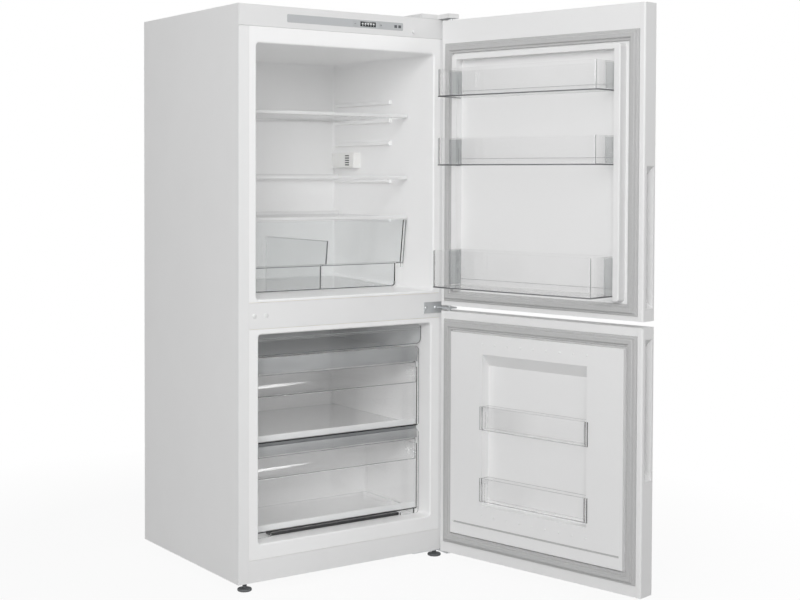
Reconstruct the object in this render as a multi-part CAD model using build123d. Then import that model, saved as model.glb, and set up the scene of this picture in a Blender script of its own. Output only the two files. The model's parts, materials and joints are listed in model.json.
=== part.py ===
"""Fridge freezer with two hinged doors, fridge above and freezer below, standing with its doors open."""

import os

from build123d import *

# Frame: x to the right seen from the front, y to the back, z up, millimetres.
# The origin is on the floor, under the middle of the cabinet.

# Cabinet
CAB_W = 600.0
CAB_D = 508.0
FOOT_H = 20.0
SHEET = 1.0
SIDE_FLANGE = 27.0
REAR_FLANGE = 15.0
TOP_T = 10.0
SEAM = 0.3
FIT = 0.3

# Heights of the front, from the cabinet's bottom upwards
BOTTOM_RAIL_H = 52.0
FREEZER_SILL = 36.0
FREEZER_H = 489.0
FREEZER_LINTEL = 13.0
CENTRE_RAIL_H = 62.0
FRIDGE_SILL = 7.0
FRIDGE_H = 593.0
FRIDGE_LINTEL = 38.0
FASCIA_H = 50.0
FASCIA_D = 28.0
FASCIA_WALL = 3.0
RAIL_T = 2.5

# Compartments
LINER_T = 2.5
LINER_EDGE_R = 4.0
FRIDGE_WALL = 47.0
BACK_WALL = 40.0
FRIDGE_CORNER_R = 8.0
FREEZER_WALL = 53.0
NICHE_WALL = 38.0
FREEZER_STEP_H = 174.0
FREEZER_CORNER_R = 8.0
BACK_CORNER_R = 7.0

# Shelf ribs of the fridge, heights above its floor
RIB_OUT = 8.0
RIB_H = 11.0
RIB_FROM = 186.0
RIB_BACK_GAP = 16.0
CRISPER_COVER_UP = 179.0
MIDDLE_SHELF_UP = 280.0
UPPER_SHELF_UP = 438.0
SPARE_RIBS_UP = (379.0, 486.0)

# Glass shelves
SHELF_GAP = 5.0
SHELF_FRONT = 108.0
SHELF_BACK_GAP = 16.0
GLASS_T = 4.0
FRONT_TRIM_D = 14.0
FRONT_TRIM_H = 8.5
FRONT_TRIM_BELOW = 1.5
REAR_TRIM_D = 16.0
REAR_TRIM_H = 12.0
TRIM_GRIP = 9.0

# Crisper drawer and its divider
CRISPER_SIDE_GAP = 9.0
CRISPER_FRONT = 113.0
CRISPER_BACK_GAP = 22.0
CRISPER_LEAN = 14.0
CRISPER_STEP_UP = 62.0
CRISPER_STEP_IN = 25.0
CRISPER_TOP_GAP = 4.0
CRISPER_WALL = 3.0
CRISPER_EDGE_R = 14.0
CRISPER_WING = 6.0
CRISPER_WING_DROP = 10.0
DIVIDER_T = 3.0
DIVIDER_X = 17.0
DIVIDER_CLEAR = 0.8
DIVIDER_DROP = 50.0
DIVIDER_BACK_GAP = 14.0

# Freezer: evaporator shelves, drawers and flap, heights above its floor
EVAP_T = 4.0
EVAP_TUBE_R = 3.5
EVAP_TUBES = 6
EVAP_SINK = 1.0
EVAP_FRONT = 62.0
EVAP_BACK_GAP = 8.0
EVAP_LIP = 14.0
LEDGE_OUT = 6.0
LEDGE_H = 8.0
LOWER_EVAP_UP = 220.0
UPPER_EVAP_UP = 408.0
DRAWER_FRONT = 45.0
DRAWER_FRONT_T = 3.5
DRAWER_GAP = 4.0
DRAWER_INSET = 4.0
DRAWER_WALL = 2.5
DRAWER_RIM_DROP = 12.0
DRAWER_BACK_GAP = 24.0
LOWER_RIM_UP = 190.0
UPPER_RIM_UP = 161.0
LOWER_FRONT_ABOVE_RIM = 27.0
UPPER_FRONT_ABOVE_RIM = 43.0
DRAWER_CLEAR = 0.5
DRAWER_CORNER_R = 7.0
DRAWER_TOP_R = 14.0
SKID_W = 4.0
SKID_H = 11.0
SLOT_HALF_W = 188.0
SLOT_H = 9.0
SCOOP_HALF_W = 232.0
SCOOP_H = 50.0
SCOOP_D = 24.0
SCOOP_EDGE_R = 4.0
FLAP_FRONT = 43.0
FLAP_T = 3.0
FLAP_BOTTOM_UP = 433.0
FLAP_AXIS_UP = 471.0
FLAP_ABOVE_AXIS = 12.0
FLAP_PIN_R = 3.0
FLAP_PIN_L = 2.2
FLAP_PIN_CLEAR = 0.08

# Doors
DOOR_SIDE_IN = 1.5
DOOR_T = 47.5
DOOR_GAP = 12.0
DOOR_SPLIT_UP = 26.0
DOOR_SPLIT = 14.0
DOOR_TOP_DROP = 6.0
DOOR_BOTTOM_UP = 2.0
DOOR_EDGE_R = 4.0
DOOR_LIP = 12.5
DOOR_CAP_H = 22.0
DOOR_LINER_T = 2.5
DOOR_OPEN_DEG = 102.2
GASKET_EDGE_IN = 13.5
GASKET_W = 26.0
GASKET_CLEAR = 0.3
GASKET_CORNER_R = 8.0
UPPER_GASKET_BELOW_TOP = 58.0
UPPER_GASKET_ABOVE_BOTTOM = 12.0
LOWER_GASKET_BELOW_TOP = 19.0
LOWER_GASKET_ABOVE_BOTTOM = 27.0
GRIP_LENGTH = 320.0
GRIP_FROM_SPLIT = 27.0
GRIP_DEPTH = 19.0
GRIP_W = 28.0
GRIP_BEHIND_FRONT = 8.0
GRIP_END_SLOPE = 18.0
GRIP_WALL = 2.0

# Fridge door's inner panel and its bins
RIDGE_SWING_GAP = 3.0
RIDGE_W = 18.5
RIDGE_H = 22.0
RIDGE_TOP_W = 14.0
RIDGE_TAPER = 6.0
RIDGE_EDGE_R = 3.0
RIDGE_CORNER_R = 10.0
RIDGE_GASKET_GAP = 3.0
BIN_GAP = 0.5
BIN_WALL = 2.5
BIN_CORNER_R = 6.0
BIN_DEPTH = 90.0
BOTTLE_BIN_DEPTH = 106.0
BIN_H = 66.0
BOTTLE_BIN_H = 90.0
TOP_BIN_UP = 516.0
MIDDLE_BIN_UP = 350.0
BOTTOM_BIN_UP = 54.0
LUG_OUT = 2.2
LUG_W = 10.0
LUG_H = 12.0
LUG_UP = 30.0
LUG_IN = 4.0
LUG_CLEAR = 0.4

# Freezer door's inner panel and its bins
PLATEAU_H = 10.0
PLATEAU_TAPER = 10.0
PLATEAU_GASKET_GAP = 2.0
RECESS_HALF_W = 155.0
RECESS_DEPTH = 16.0
RECESS_BOTTOM_UP = 138.0
RECESS_TOP_UP = 510.0
RECESS_TOP_SLOPE = 30.0
PIMPLE_R = 3.0
PIMPLE_H = 1.2
PIMPLES = 9
PIMPLE_ROWS_OUT = 25.0
GROOVE_UP = 86.0
GROOVE_W = 4.5
GROOVE_DEPTH = 3.5
GROOVE_END = 1.0
FREEZER_BIN_H = 57.0
UPPER_FREEZER_BIN_UP = 325.0
LOWER_FREEZER_BIN_UP = 149.0
FREEZER_BIN_WALL = 2.5
FREEZER_BIN_EAR = 5.0

# Hinges
HINGE_IN = 16.0
HINGE_FORWARD = 18.0
PIN_R = 4.0
PIN_CLEAR = 0.05
PIN_LENGTH = 16.0
BORE_SPARE = 2.0
PLATE_T = 3.0
ARM_HALF_W = 14.0
ARM_NOSE = 11.0
TOP_PLATE_W = 82.0
TOP_PLATE_D = 45.0
COVER_WALL = 2.0
COVER_CLEAR = 1.0
COVER_H = 11.0
MIDDLE_PLATE_W = 55.0
MIDDLE_SCREW_IN = 24.0
MIDDLE_PLATE_H = 28.0
MIDDLE_PLATE_T = 2.5
MIDDLE_ARM_T = 4.0
BOTTOM_PLATE_W = 100.0
BOTTOM_PLATE_D = 52.0
SCREW_R = 2.4
SCREW_HEAD_R = 4.5
SCREW_HEAD_H = 2.5
SCREW_L = 8.0
SCREW_PITCH = 30.0

# Control panel
STRIP_W = 330.0
STRIP_H = 19.0
STRIP_T = 2.0
STRIP_PROUD = 0.4
STRIP_X = -7.0
STRIP_DROP = 1.5
STRIP_R = 3.0
BUTTON = 8.4
BUTTON_PROUD = 0.8
BUTTON_BODY = 7.0
BUTTON_CLEAR = 0.3
MINUS_X = 17.0
PLUS_X = 92.0
SWITCH_X = 189.0
SWITCH_R = 4.0
SWITCH_PROUD = 6.0
SWITCH_BODY = 14.0
SWITCH_DROP = 12.0
SWITCH_CLEAR = 0.08

# Lamp cover on the fridge's right wall
LAMP_L = 112.0
LAMP_H = 41.0
LAMP_OUT = 22.0
LAMP_BACK_GAP = 22.0
LAMP_UP = 309.0
LAMP_EDGE_R = 5.0
LAMP_SLOTS = 5
LAMP_SLOT_W = 3.0
LAMP_SLOT_L = 22.0
LAMP_SLOT_DEPTH = 4.0

# Feet and rollers
FOOT_R = 17.0
FOOT_DISC_H = 6.0
FOOT_STEM_R = 5.0
FOOT_STEM_UP = 16.0
FOOT_CLEAR = 0.08
FOOT_X = 274.0
FOOT_Y = 18.0
ROLLER_R = 9.0
ROLLER_W = 20.0
ROLLER_X = 240.0
ROLLER_FROM_BACK = 40.0
ROLLER_CLEAR = 0.4
AXLE_R = 3.0
AXLE_CLEAR = 0.05
CHEEK_T = 2.5

# Machine compartment
PAN_T = 1.5
NICHE_D = 170.0
NICHE_H = 225.0
COMPRESSOR_A = 88.0
COMPRESSOR_B = 60.0
COMPRESSOR_H = 148.0
COMPRESSOR_TOP_R = 34.0
COMPRESSOR_FOOT_R = 18.0
COMPRESSOR_X = 40.0
WELD_OUT = 3.0
WELD_H = 5.0
WELD_UP = 78.0
BASE_PLATE_W = 210.0
BASE_PLATE_D = 128.0
BASE_PLATE_T = 3.0
MOUNT_R = 11.0
MOUNT_H = 15.0
MOUNT_X = 88.0
MOUNT_Y = 48.0
STUB_R = 4.0
STUB_L = 40.0
RELAY_W = 42.0
RELAY_D = 62.0
RELAY_H = 66.0
RELAY_UP = 36.0
GLAND_R = 7.0
GLAND_FLANGE_R = 10.0
GLAND_FLANGE_T = 3.0
GLAND_L = 9.0
GLAND_BORE_R = 4.0
TRAY_W = 170.0
TRAY_D = 104.0
TRAY_H = 28.0
TRAY_WALL = 2.0
DRAIN_R = 8.0
DRAIN_BORE_R = 6.0
DRAIN_UP = 34.0
DRAIN_BEND_R = 9.0
DRAIN_OUT = 18.0
COLD_PLATE_HALF_W = 200.0
COLD_PLATE_T = 3.0
COLD_PLATE_UP = 230.0
COLD_PLATE_H = 300.0
COIL_TUBE_R = 2.5
COIL_HALF_W = 235.0
COIL_RUNS = 14
COIL_PITCH = 56.0
COIL_UP = 60.0
COIL_OUT = 22.0
STRAP_W = 14.0
STRAP_T = 2.0
STRAP_X = (-180.0, 0.0, 180.0)
STRAP_SINK = 0.5
STANDOFF_R = 5.0

# Places that follow from the sizes above
HALF_W = CAB_W / 2
FRONT = -CAB_D / 2
BACK = CAB_D / 2
BOTTOM = FOOT_H
FREEZER_SILL_Z = BOTTOM + BOTTOM_RAIL_H
FREEZER_FLOOR = FREEZER_SILL_Z + FREEZER_SILL
FREEZER_CEILING = FREEZER_FLOOR + FREEZER_H
RAIL_Z = FREEZER_CEILING + FREEZER_LINTEL
FRIDGE_SILL_Z = RAIL_Z + CENTRE_RAIL_H
FRIDGE_FLOOR = FRIDGE_SILL_Z + FRIDGE_SILL
FRIDGE_CEILING = FRIDGE_FLOOR + FRIDGE_H
FASCIA_Z = FRIDGE_CEILING + FRIDGE_LINTEL
TOP = FASCIA_Z + FASCIA_H
INSIDE_HALF_W = HALF_W - SHEET
PANEL_HALF_W = HALF_W - SIDE_FLANGE - SEAM
NICHE_Y = BACK - NICHE_D
NICHE_TOP = BOTTOM + NICHE_H
BACK_SHEET_Y = BACK - 2 * SHEET
FRIDGE_HALF_W = HALF_W - FRIDGE_WALL
FREEZER_HALF_W = HALF_W - FREEZER_WALL
FRIDGE_BACK = BACK - BACK_WALL
FREEZER_BACK = BACK - BACK_WALL
FREEZER_LOW_BACK = NICHE_Y - NICHE_WALL
CRISPER_HALF_W = FRIDGE_HALF_W - CRISPER_SIDE_GAP
CRISPER_BACK = FRIDGE_BACK - CRISPER_BACK_GAP
RIDGE_OUT = FRIDGE_HALF_W - RIDGE_SWING_GAP
LAMP_BACK = FRIDGE_BACK - LAMP_BACK_GAP
FREEZER_STEP_Z = FREEZER_FLOOR + FREEZER_STEP_H
SPLIT_Z = RAIL_Z + DOOR_SPLIT_UP
UPPER_DOOR_Z0 = SPLIT_Z + DOOR_SPLIT / 2
UPPER_DOOR_Z1 = TOP - DOOR_TOP_DROP
LOWER_DOOR_Z0 = BOTTOM + DOOR_BOTTOM_UP
LOWER_DOOR_Z1 = SPLIT_Z - DOOR_SPLIT / 2
DOOR_HALF_W = HALF_W - DOOR_SIDE_IN
GASKET_OUT = DOOR_HALF_W - GASKET_EDGE_IN
PLATEAU_HALF_W = GASKET_OUT - GASKET_W - PLATEAU_GASKET_GAP
DOOR_IN = FRONT - DOOR_GAP
DOOR_OUT = DOOR_IN - DOOR_T
HINGE_X = HALF_W - HINGE_IN
HINGE_Y = DOOR_IN - HINGE_FORWARD
HINGE_AXIS = Axis((HINGE_X, HINGE_Y, 0), (0, 0, 1))
STRIP_Z = FASCIA_Z + FASCIA_H / 2 - STRIP_DROP
DRAIN_Y = FRIDGE_BACK + LINER_T + DRAIN_OUT
DRAIN_Z = FRIDGE_FLOOR + DRAIN_UP
COMPRESSOR_Y = (NICHE_Y + BACK) / 2
BASE_PLATE_Z = BOTTOM + PAN_T + MOUNT_H
COMPRESSOR_TOP = BASE_PLATE_Z + COMPRESSOR_H


def block(x0, x1, y0, y1, z0, z1):
    """Box between two corners."""
    middle = Pos((x0 + x1) / 2, (y0 + y1) / 2, (z0 + z1) / 2)
    return middle * Box(abs(x1 - x0), abs(y1 - y0), abs(z1 - z0))


def rod(x, y, z, radius, length, turn=(0, 0, 0)):
    """Round bar that starts at a point and runs up, or along the way that turn gives."""
    bar = Cylinder(radius, length, align=(Align.CENTER, Align.CENTER, Align.MIN))
    return Pos(x, y, z) * Rot(*turn) * bar


def upright(outline, z0, z1):
    """Plan outline drawn up from z0 to z1."""
    return Pos(0, 0, z0) * extrude(outline, z1 - z0)


def across(points, half_w):
    """Side-view outline of (y, z) points drawn across the whole width."""
    face = make_face(Polyline(*[(-half_w, y, z) for y, z in points], close=True))
    return extrude(face, 2 * half_w, dir=(1, 0, 0))


def compartment(half_w, y0, y1, z0, z1, corner_r, back_r):
    """Space of a moulded compartment, rounded in the front view and along its back."""
    mouth = Plane((0, y0, (z0 + z1) / 2), x_dir=(1, 0, 0), z_dir=(0, 1, 0))
    space = extrude(mouth * RectangleRounded(2 * half_w, z1 - z0, corner_r), y1 - y0)
    return fillet(space.faces().sort_by(Axis.Y)[-1].edges(), back_r)


TO_BACK = (-90, 0, 0)
TO_FRONT = (90, 0, 0)
TO_RIGHT = (0, 90, 0)
nodes = {}


# Painted steel side panels, folded round the front and the back edges

def side_panel(side):
    skin = block(HALF_W - SHEET, HALF_W, FRONT, BACK, BOTTOM, TOP)
    skin += block(HALF_W - SIDE_FLANGE, HALF_W, FRONT, FRONT + SHEET, BOTTOM, FASCIA_Z - SEAM)
    skin += block(HALF_W - REAR_FLANGE, HALF_W, BACK - SHEET, BACK, BOTTOM, TOP)
    return skin if side > 0 else mirror(skin, Plane.YZ)


nodes["side_panels"] = Compound([side_panel(-1), side_panel(1)])


# Top, back and bottom of the cabinet

nodes["top_panel"] = block(
    -INSIDE_HALF_W + SEAM, INSIDE_HALF_W - SEAM, FRONT + FASCIA_D + SEAM, BACK - SHEET, TOP - TOP_T, TOP)

back_panel = block(-INSIDE_HALF_W, INSIDE_HALF_W, BACK_SHEET_Y, BACK - SHEET, NICHE_TOP, TOP - TOP_T)
back_panel += block(-INSIDE_HALF_W, INSIDE_HALF_W, NICHE_Y, BACK - SHEET, NICHE_TOP, NICHE_TOP + SHEET)
back_panel += block(
    -INSIDE_HALF_W, INSIDE_HALF_W, NICHE_Y, NICHE_Y + SHEET, BOTTOM + PAN_T, NICHE_TOP + SHEET)
drain_bar = rod(0, DRAIN_Y, NICHE_TOP - DRAIN_OUT, DRAIN_R, DRAIN_Z)
nodes["back_panel"] = back_panel - drain_bar

base_pan = block(
    -INSIDE_HALF_W, INSIDE_HALF_W, FRONT + RAIL_T, BACK - SHEET, BOTTOM, BOTTOM + PAN_T)
ROLLER_Y = BACK - ROLLER_FROM_BACK
for x in (-ROLLER_X, ROLLER_X):
    inner = ROLLER_W / 2 + ROLLER_CLEAR
    for x0, x1 in ((x - inner - CHEEK_T, x - inner), (x + inner, x + inner + CHEEK_T)):
        base_pan += block(
            x0, x1, ROLLER_Y - ROLLER_R, ROLLER_Y + ROLLER_R, ROLLER_R - AXLE_R - CHEEK_T, BOTTOM + PAN_T)
    base_pan += rod(x - inner - CHEEK_T, ROLLER_Y, ROLLER_R, AXLE_R, 2 * (inner + CHEEK_T), TO_RIGHT)
for x in (-FOOT_X, FOOT_X):
    base_pan -= rod(x, FRONT + FOOT_Y, BOTTOM, FOOT_STEM_R + FOOT_CLEAR, PAN_T)
nodes["base_pan"] = base_pan


# Fridge compartment: one moulded liner with shelf ribs on both side walls

def fridge_space(grow):
    return compartment(
        FRIDGE_HALF_W + grow, FRONT, FRIDGE_BACK + grow, FRIDGE_FLOOR - grow, FRIDGE_CEILING + grow,
        FRIDGE_CORNER_R + grow, BACK_CORNER_R + grow)


def shelf_rib(side, top_z):
    rib = block(
        FRIDGE_HALF_W - RIB_OUT, FRIDGE_HALF_W, FRONT + RIB_FROM, FRIDGE_BACK - RIB_BACK_GAP,
        top_z - RIB_H, top_z)
    rib = fillet(rib.faces().sort_by(Axis.X)[0].edges(), RIB_H / 3)
    return rib if side > 0 else mirror(rib, Plane.YZ)


fridge_liner = block(
    -PANEL_HALF_W, PANEL_HALF_W, FRONT, FRONT + LINER_T, FRIDGE_SILL_Z + SEAM, FASCIA_Z - SEAM)
fridge_liner += fridge_space(LINER_T)
fridge_liner -= fridge_space(0)
mouth_edges = [e for e in fridge_liner.faces().sort_by(Axis.Y)[0].inner_wires()[0].edges()]
fridge_liner = fillet(mouth_edges, LINER_EDGE_R)
for up in (CRISPER_COVER_UP, MIDDLE_SHELF_UP, UPPER_SHELF_UP, *SPARE_RIBS_UP):
    fridge_liner += shelf_rib(-1, FRIDGE_FLOOR + up - FIT)
    fridge_liner += shelf_rib(1, FRIDGE_FLOOR + up - FIT)
nodes["fridge_liner"] = fridge_liner - rod(0, FRIDGE_BACK, DRAIN_Z, DRAIN_BORE_R, LINER_T, TO_BACK)


# Freezer compartment: shallower at the bottom, where the compressor stands behind it

def freezer_space(grow):
    low = compartment(
        FREEZER_HALF_W + grow, FRONT, FREEZER_LOW_BACK + grow, FREEZER_FLOOR - grow,
        FREEZER_STEP_Z + 2 * FREEZER_CORNER_R + grow, FREEZER_CORNER_R + grow, BACK_CORNER_R + grow)
    high = compartment(
        FREEZER_HALF_W + grow, FRONT, FREEZER_BACK + grow, FREEZER_STEP_Z - grow,
        FREEZER_CEILING + grow, FREEZER_CORNER_R + grow, BACK_CORNER_R + grow)
    return low + high


def evaporator_ledge(side, top_z):
    ledge = block(
        FREEZER_HALF_W - LEDGE_OUT, FREEZER_HALF_W + LINER_T, FRONT + EVAP_FRONT + EVAP_LIP,
        FREEZER_BACK - EVAP_BACK_GAP - BACK_CORNER_R, top_z - LEDGE_H, top_z)
    return ledge if side > 0 else mirror(ledge, Plane.YZ)


FLAP_AXIS_Y = FRONT + FLAP_FRONT + FLAP_T / 2
FLAP_AXIS_Z = FREEZER_FLOOR + FLAP_AXIS_UP
freezer_liner = block(
    -PANEL_HALF_W, PANEL_HALF_W, FRONT, FRONT + LINER_T, FREEZER_SILL_Z + SEAM, RAIL_Z - SEAM)
freezer_liner += freezer_space(LINER_T)
freezer_liner -= freezer_space(0)
mouth_edges = [e for e in freezer_liner.faces().sort_by(Axis.Y)[0].inner_wires()[0].edges()]
freezer_liner = fillet(mouth_edges, LINER_EDGE_R)
for up in (LOWER_EVAP_UP, UPPER_EVAP_UP):
    freezer_liner += evaporator_ledge(-1, FREEZER_FLOOR + up)
    freezer_liner += evaporator_ledge(1, FREEZER_FLOOR + up)
flap_bore_l = 2 * (FREEZER_HALF_W + LINER_T)
nodes["freezer_liner"] = freezer_liner - rod(
    -flap_bore_l / 2, FLAP_AXIS_Y, FLAP_AXIS_Z, FLAP_PIN_R + FLAP_PIN_CLEAR, flap_bore_l, TO_RIGHT)


# Steel rails across the front, above and below the freezer

MIDDLE_SCREWS_X = [HINGE_X - MIDDLE_SCREW_IN - SCREW_PITCH * n for n in (0, 1)]
centre_rail = block(
    -PANEL_HALF_W, PANEL_HALF_W, FRONT, FRONT + RAIL_T, RAIL_Z + SEAM, FRIDGE_SILL_Z - SEAM)
for x in MIDDLE_SCREWS_X:
    centre_rail -= rod(x, FRONT, SPLIT_Z, SCREW_R, RAIL_T, TO_BACK)
nodes["centre_rail"] = centre_rail
nodes["bottom_rail"] = block(
    -PANEL_HALF_W, PANEL_HALF_W, FRONT, FRONT + RAIL_T, BOTTOM, FREEZER_SILL_Z - SEAM)


# Drain from the fridge's back wall down to the tray over the compressor

drain_path = FilletPolyline(
    (0, FRIDGE_BACK + LINER_T, DRAIN_Z), (0, DRAIN_Y, DRAIN_Z), (0, DRAIN_Y, NICHE_TOP - DRAIN_OUT),
    radius=DRAIN_BEND_R)
drain_start = Plane(drain_path @ 0, z_dir=drain_path % 0)
drain_outer = sweep(drain_start * Circle(DRAIN_R), drain_path)
nodes["drain_tube"] = drain_outer - sweep(drain_start * Circle(DRAIN_BORE_R), drain_path)


# Cold plate of the fridge, foamed in behind the liner

nodes["fridge_evaporator"] = block(
    -COLD_PLATE_HALF_W, COLD_PLATE_HALF_W, FRIDGE_BACK + LINER_T, FRIDGE_BACK + LINER_T + COLD_PLATE_T,
    FRIDGE_FLOOR + COLD_PLATE_UP, FRIDGE_FLOOR + COLD_PLATE_UP + COLD_PLATE_H)


# Foam that fills the cabinet between the liners, the panels and the machine niche

foam = block(
    -INSIDE_HALF_W, INSIDE_HALF_W, FRONT + RAIL_T, BACK_SHEET_Y, BOTTOM + PAN_T, TOP - TOP_T)
foam -= block(-HALF_W, HALF_W, FRONT, FRONT + FASCIA_D + SEAM, FASCIA_Z - SEAM, TOP)
foam -= block(-HALF_W, HALF_W, NICHE_Y, BACK, BOTTOM, NICHE_TOP + SHEET)
foam -= fridge_space(LINER_T)
foam -= freezer_space(LINER_T)
foam -= nodes["fridge_evaporator"]
foam -= drain_outer
for x in (-FOOT_X, FOOT_X):
    foam -= rod(x, FRONT + FOOT_Y, BOTTOM, FOOT_STEM_R + SEAM + FOOT_CLEAR, FOOT_STEM_UP + 2 * PAN_T)
nodes["cabinet_foam"] = foam


# Control panel over the fridge: moulded fascia, grey strip, two buttons and the door switch

STRIP_Y = FRONT - STRIP_PROUD
BUTTON_PLACES = {"minus_button": MINUS_X, "plus_button": PLUS_X}
strip_plane = Plane((STRIP_X, STRIP_Y, STRIP_Z), x_dir=(1, 0, 0), z_dir=(0, 1, 0))
strip = extrude(strip_plane * RectangleRounded(STRIP_W, STRIP_H, STRIP_R), STRIP_T)
fascia = block(-INSIDE_HALF_W + SEAM, INSIDE_HALF_W - SEAM, FRONT, FRONT + FASCIA_D, FASCIA_Z, TOP)
fascia = fillet(fascia.edges().filter_by(Axis.X).group_by(Axis.Y)[0], LINER_EDGE_R / 2)
fascia -= block(
    -INSIDE_HALF_W + SEAM + FASCIA_WALL, INSIDE_HALF_W - SEAM - FASCIA_WALL, FRONT + FASCIA_WALL,
    FRONT + FASCIA_D, FASCIA_Z + FASCIA_WALL, TOP - FASCIA_WALL)
fascia -= strip
for name, x in BUTTON_PLACES.items():
    hole = BUTTON / 2 + BUTTON_CLEAR
    opening = block(x - hole, x + hole, STRIP_Y, FRONT + FASCIA_WALL, STRIP_Z - hole, STRIP_Z + hole)
    fascia -= opening
    strip -= opening
    key = block(
        x - BUTTON / 2, x + BUTTON / 2, STRIP_Y - BUTTON_PROUD, STRIP_Y - BUTTON_PROUD + BUTTON_BODY,
        STRIP_Z - BUTTON / 2, STRIP_Z + BUTTON / 2)
    nodes[name] = fillet(key.faces().sort_by(Axis.Y)[0].edges(), BUTTON_PROUD / 2)
SWITCH_Z = TOP - FASCIA_H / 2 - SWITCH_DROP
fascia -= rod(SWITCH_X, FRONT, SWITCH_Z, SWITCH_R + SWITCH_CLEAR, FASCIA_WALL, TO_BACK)
plunger = rod(SWITCH_X, FRONT - SWITCH_PROUD, SWITCH_Z, SWITCH_R, SWITCH_PROUD + SWITCH_BODY, TO_BACK)
nodes["door_switch"] = fillet(plunger.edges().sort_by(Axis.Y)[0], SWITCH_R / 4)
nodes["control_fascia"] = fascia
nodes["display_strip"] = strip


# Lamp cover: slotted box on the fridge's right wall

lamp = block(
    FRIDGE_HALF_W - LAMP_OUT, FRIDGE_HALF_W, LAMP_BACK - LAMP_L, LAMP_BACK,
    FRIDGE_FLOOR + LAMP_UP, FRIDGE_FLOOR + LAMP_UP + LAMP_H)
lamp = fillet(lamp.faces().sort_by(Axis.X)[0].edges(), LAMP_EDGE_R)
slot_pitch = (LAMP_H - 2 * LAMP_EDGE_R) / LAMP_SLOTS
for n in range(LAMP_SLOTS):
    slot_z = FRIDGE_FLOOR + LAMP_UP + LAMP_EDGE_R + slot_pitch * (n + 0.5)
    slot_y = LAMP_BACK - LAMP_L + LAMP_SLOT_L
    lamp -= block(
        FRIDGE_HALF_W - LAMP_OUT, FRIDGE_HALF_W - LAMP_OUT + LAMP_SLOT_DEPTH, slot_y,
        slot_y + LAMP_SLOT_L, slot_z - LAMP_SLOT_W / 2, slot_z + LAMP_SLOT_W / 2)
nodes["lamp_cover"] = lamp


# Glass shelves with a trim along the front and the rear edge

def shelf(name, up):
    z = FRIDGE_FLOOR + up
    half = FRIDGE_HALF_W - SHELF_GAP
    y0, y1 = FRONT + SHELF_FRONT, FRIDGE_BACK - SHELF_BACK_GAP
    glass = block(
        -half + SEAM, half - SEAM, y0 + FRONT_TRIM_D - TRIM_GRIP, y1 - REAR_TRIM_D + TRIM_GRIP,
        z, z + GLASS_T)
    low = z - FRONT_TRIM_BELOW
    front_trim = block(-half, half, y0, y0 + FRONT_TRIM_D, low, low + FRONT_TRIM_H)
    front_trim = fillet(front_trim.edges().filter_by(Axis.X).group_by(Axis.Y)[0], FRONT_TRIM_H / 4)
    rear_trim = block(-half, half, y1 - REAR_TRIM_D, y1, z, z + REAR_TRIM_H)
    nodes[name + "_glass"] = glass
    nodes[name + "_trims"] = Compound([front_trim - glass, rear_trim - glass])


shelf("upper_shelf", UPPER_SHELF_UP)
shelf("middle_shelf", MIDDLE_SHELF_UP)
shelf("crisper_cover", CRISPER_COVER_UP)


# Clear crisper drawer with a stepped front, and the divider that stands in it

CRISPER_Z0 = FRIDGE_FLOOR + DRAWER_CLEAR
CRISPER_Z1 = FRIDGE_FLOOR + CRISPER_COVER_UP - CRISPER_TOP_GAP
STEP_Z = CRISPER_Z0 + CRISPER_STEP_UP


def crisper_profile(inset, top):
    """Side view of the drawer: leaning upper front, a step inwards, and an upright lower front."""
    face_y = FRONT + CRISPER_FRONT + inset
    step_y = face_y + CRISPER_LEAN
    low_y = step_y + CRISPER_STEP_IN
    back_y = CRISPER_BACK - inset
    floor_z = CRISPER_Z0 + inset
    return [(face_y, top), (step_y, STEP_Z + inset), (low_y, STEP_Z + inset),
            (low_y + inset, floor_z), (back_y, floor_z), (back_y, top)]


def crisper_body(inset, top):
    body = across(crisper_profile(inset, top), CRISPER_HALF_W - inset)
    return fillet(body.edges().filter_by(Axis.Y).group_by(Axis.Z)[0], CRISPER_EDGE_R - inset)


crisper = crisper_body(0, CRISPER_Z1) - crisper_body(CRISPER_WALL, CRISPER_Z1 + CRISPER_WALL)
wing_z = STEP_Z - CRISPER_WING_DROP
lean_at = CRISPER_LEAN / (CRISPER_Z1 - STEP_Z)
wing_y1 = FRONT + CRISPER_FRONT + CRISPER_LEAN + lean_at * CRISPER_WING_DROP
wing = across(
    [(FRONT + CRISPER_FRONT, CRISPER_Z1), (wing_y1, wing_z), (wing_y1 + CRISPER_WALL, wing_z),
     (FRONT + CRISPER_FRONT + CRISPER_WALL, CRISPER_Z1)], CRISPER_HALF_W + CRISPER_WING)
wing -= block(-CRISPER_HALF_W, CRISPER_HALF_W, FRONT, BACK, wing_z, CRISPER_Z1)
for part in wing.solids():
    crisper += part
nodes["crisper_drawer"] = crisper

divider_top = CRISPER_Z1 - DIVIDER_DROP
divider_face = FRONT + CRISPER_FRONT + CRISPER_WALL + DIVIDER_CLEAR + lean_at * DIVIDER_DROP
divider_step = FRONT + CRISPER_FRONT + CRISPER_LEAN + CRISPER_WALL + DIVIDER_CLEAR
divider_low = divider_step + CRISPER_STEP_IN
divider_back = CRISPER_BACK - DIVIDER_BACK_GAP
floor_up = CRISPER_Z0 + CRISPER_WALL + FIT
nodes["crisper_divider"] = Pos(DIVIDER_X, 0, 0) * across(
    [(divider_face, divider_top), (divider_step, STEP_Z + CRISPER_WALL + FIT),
     (divider_low, STEP_Z + CRISPER_WALL + FIT), (divider_low + CRISPER_WALL, floor_up),
     (divider_back, floor_up), (divider_back, divider_top)], DIVIDER_T / 2)


# Freezer evaporators: shelf plates with their tubes underneath

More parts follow.
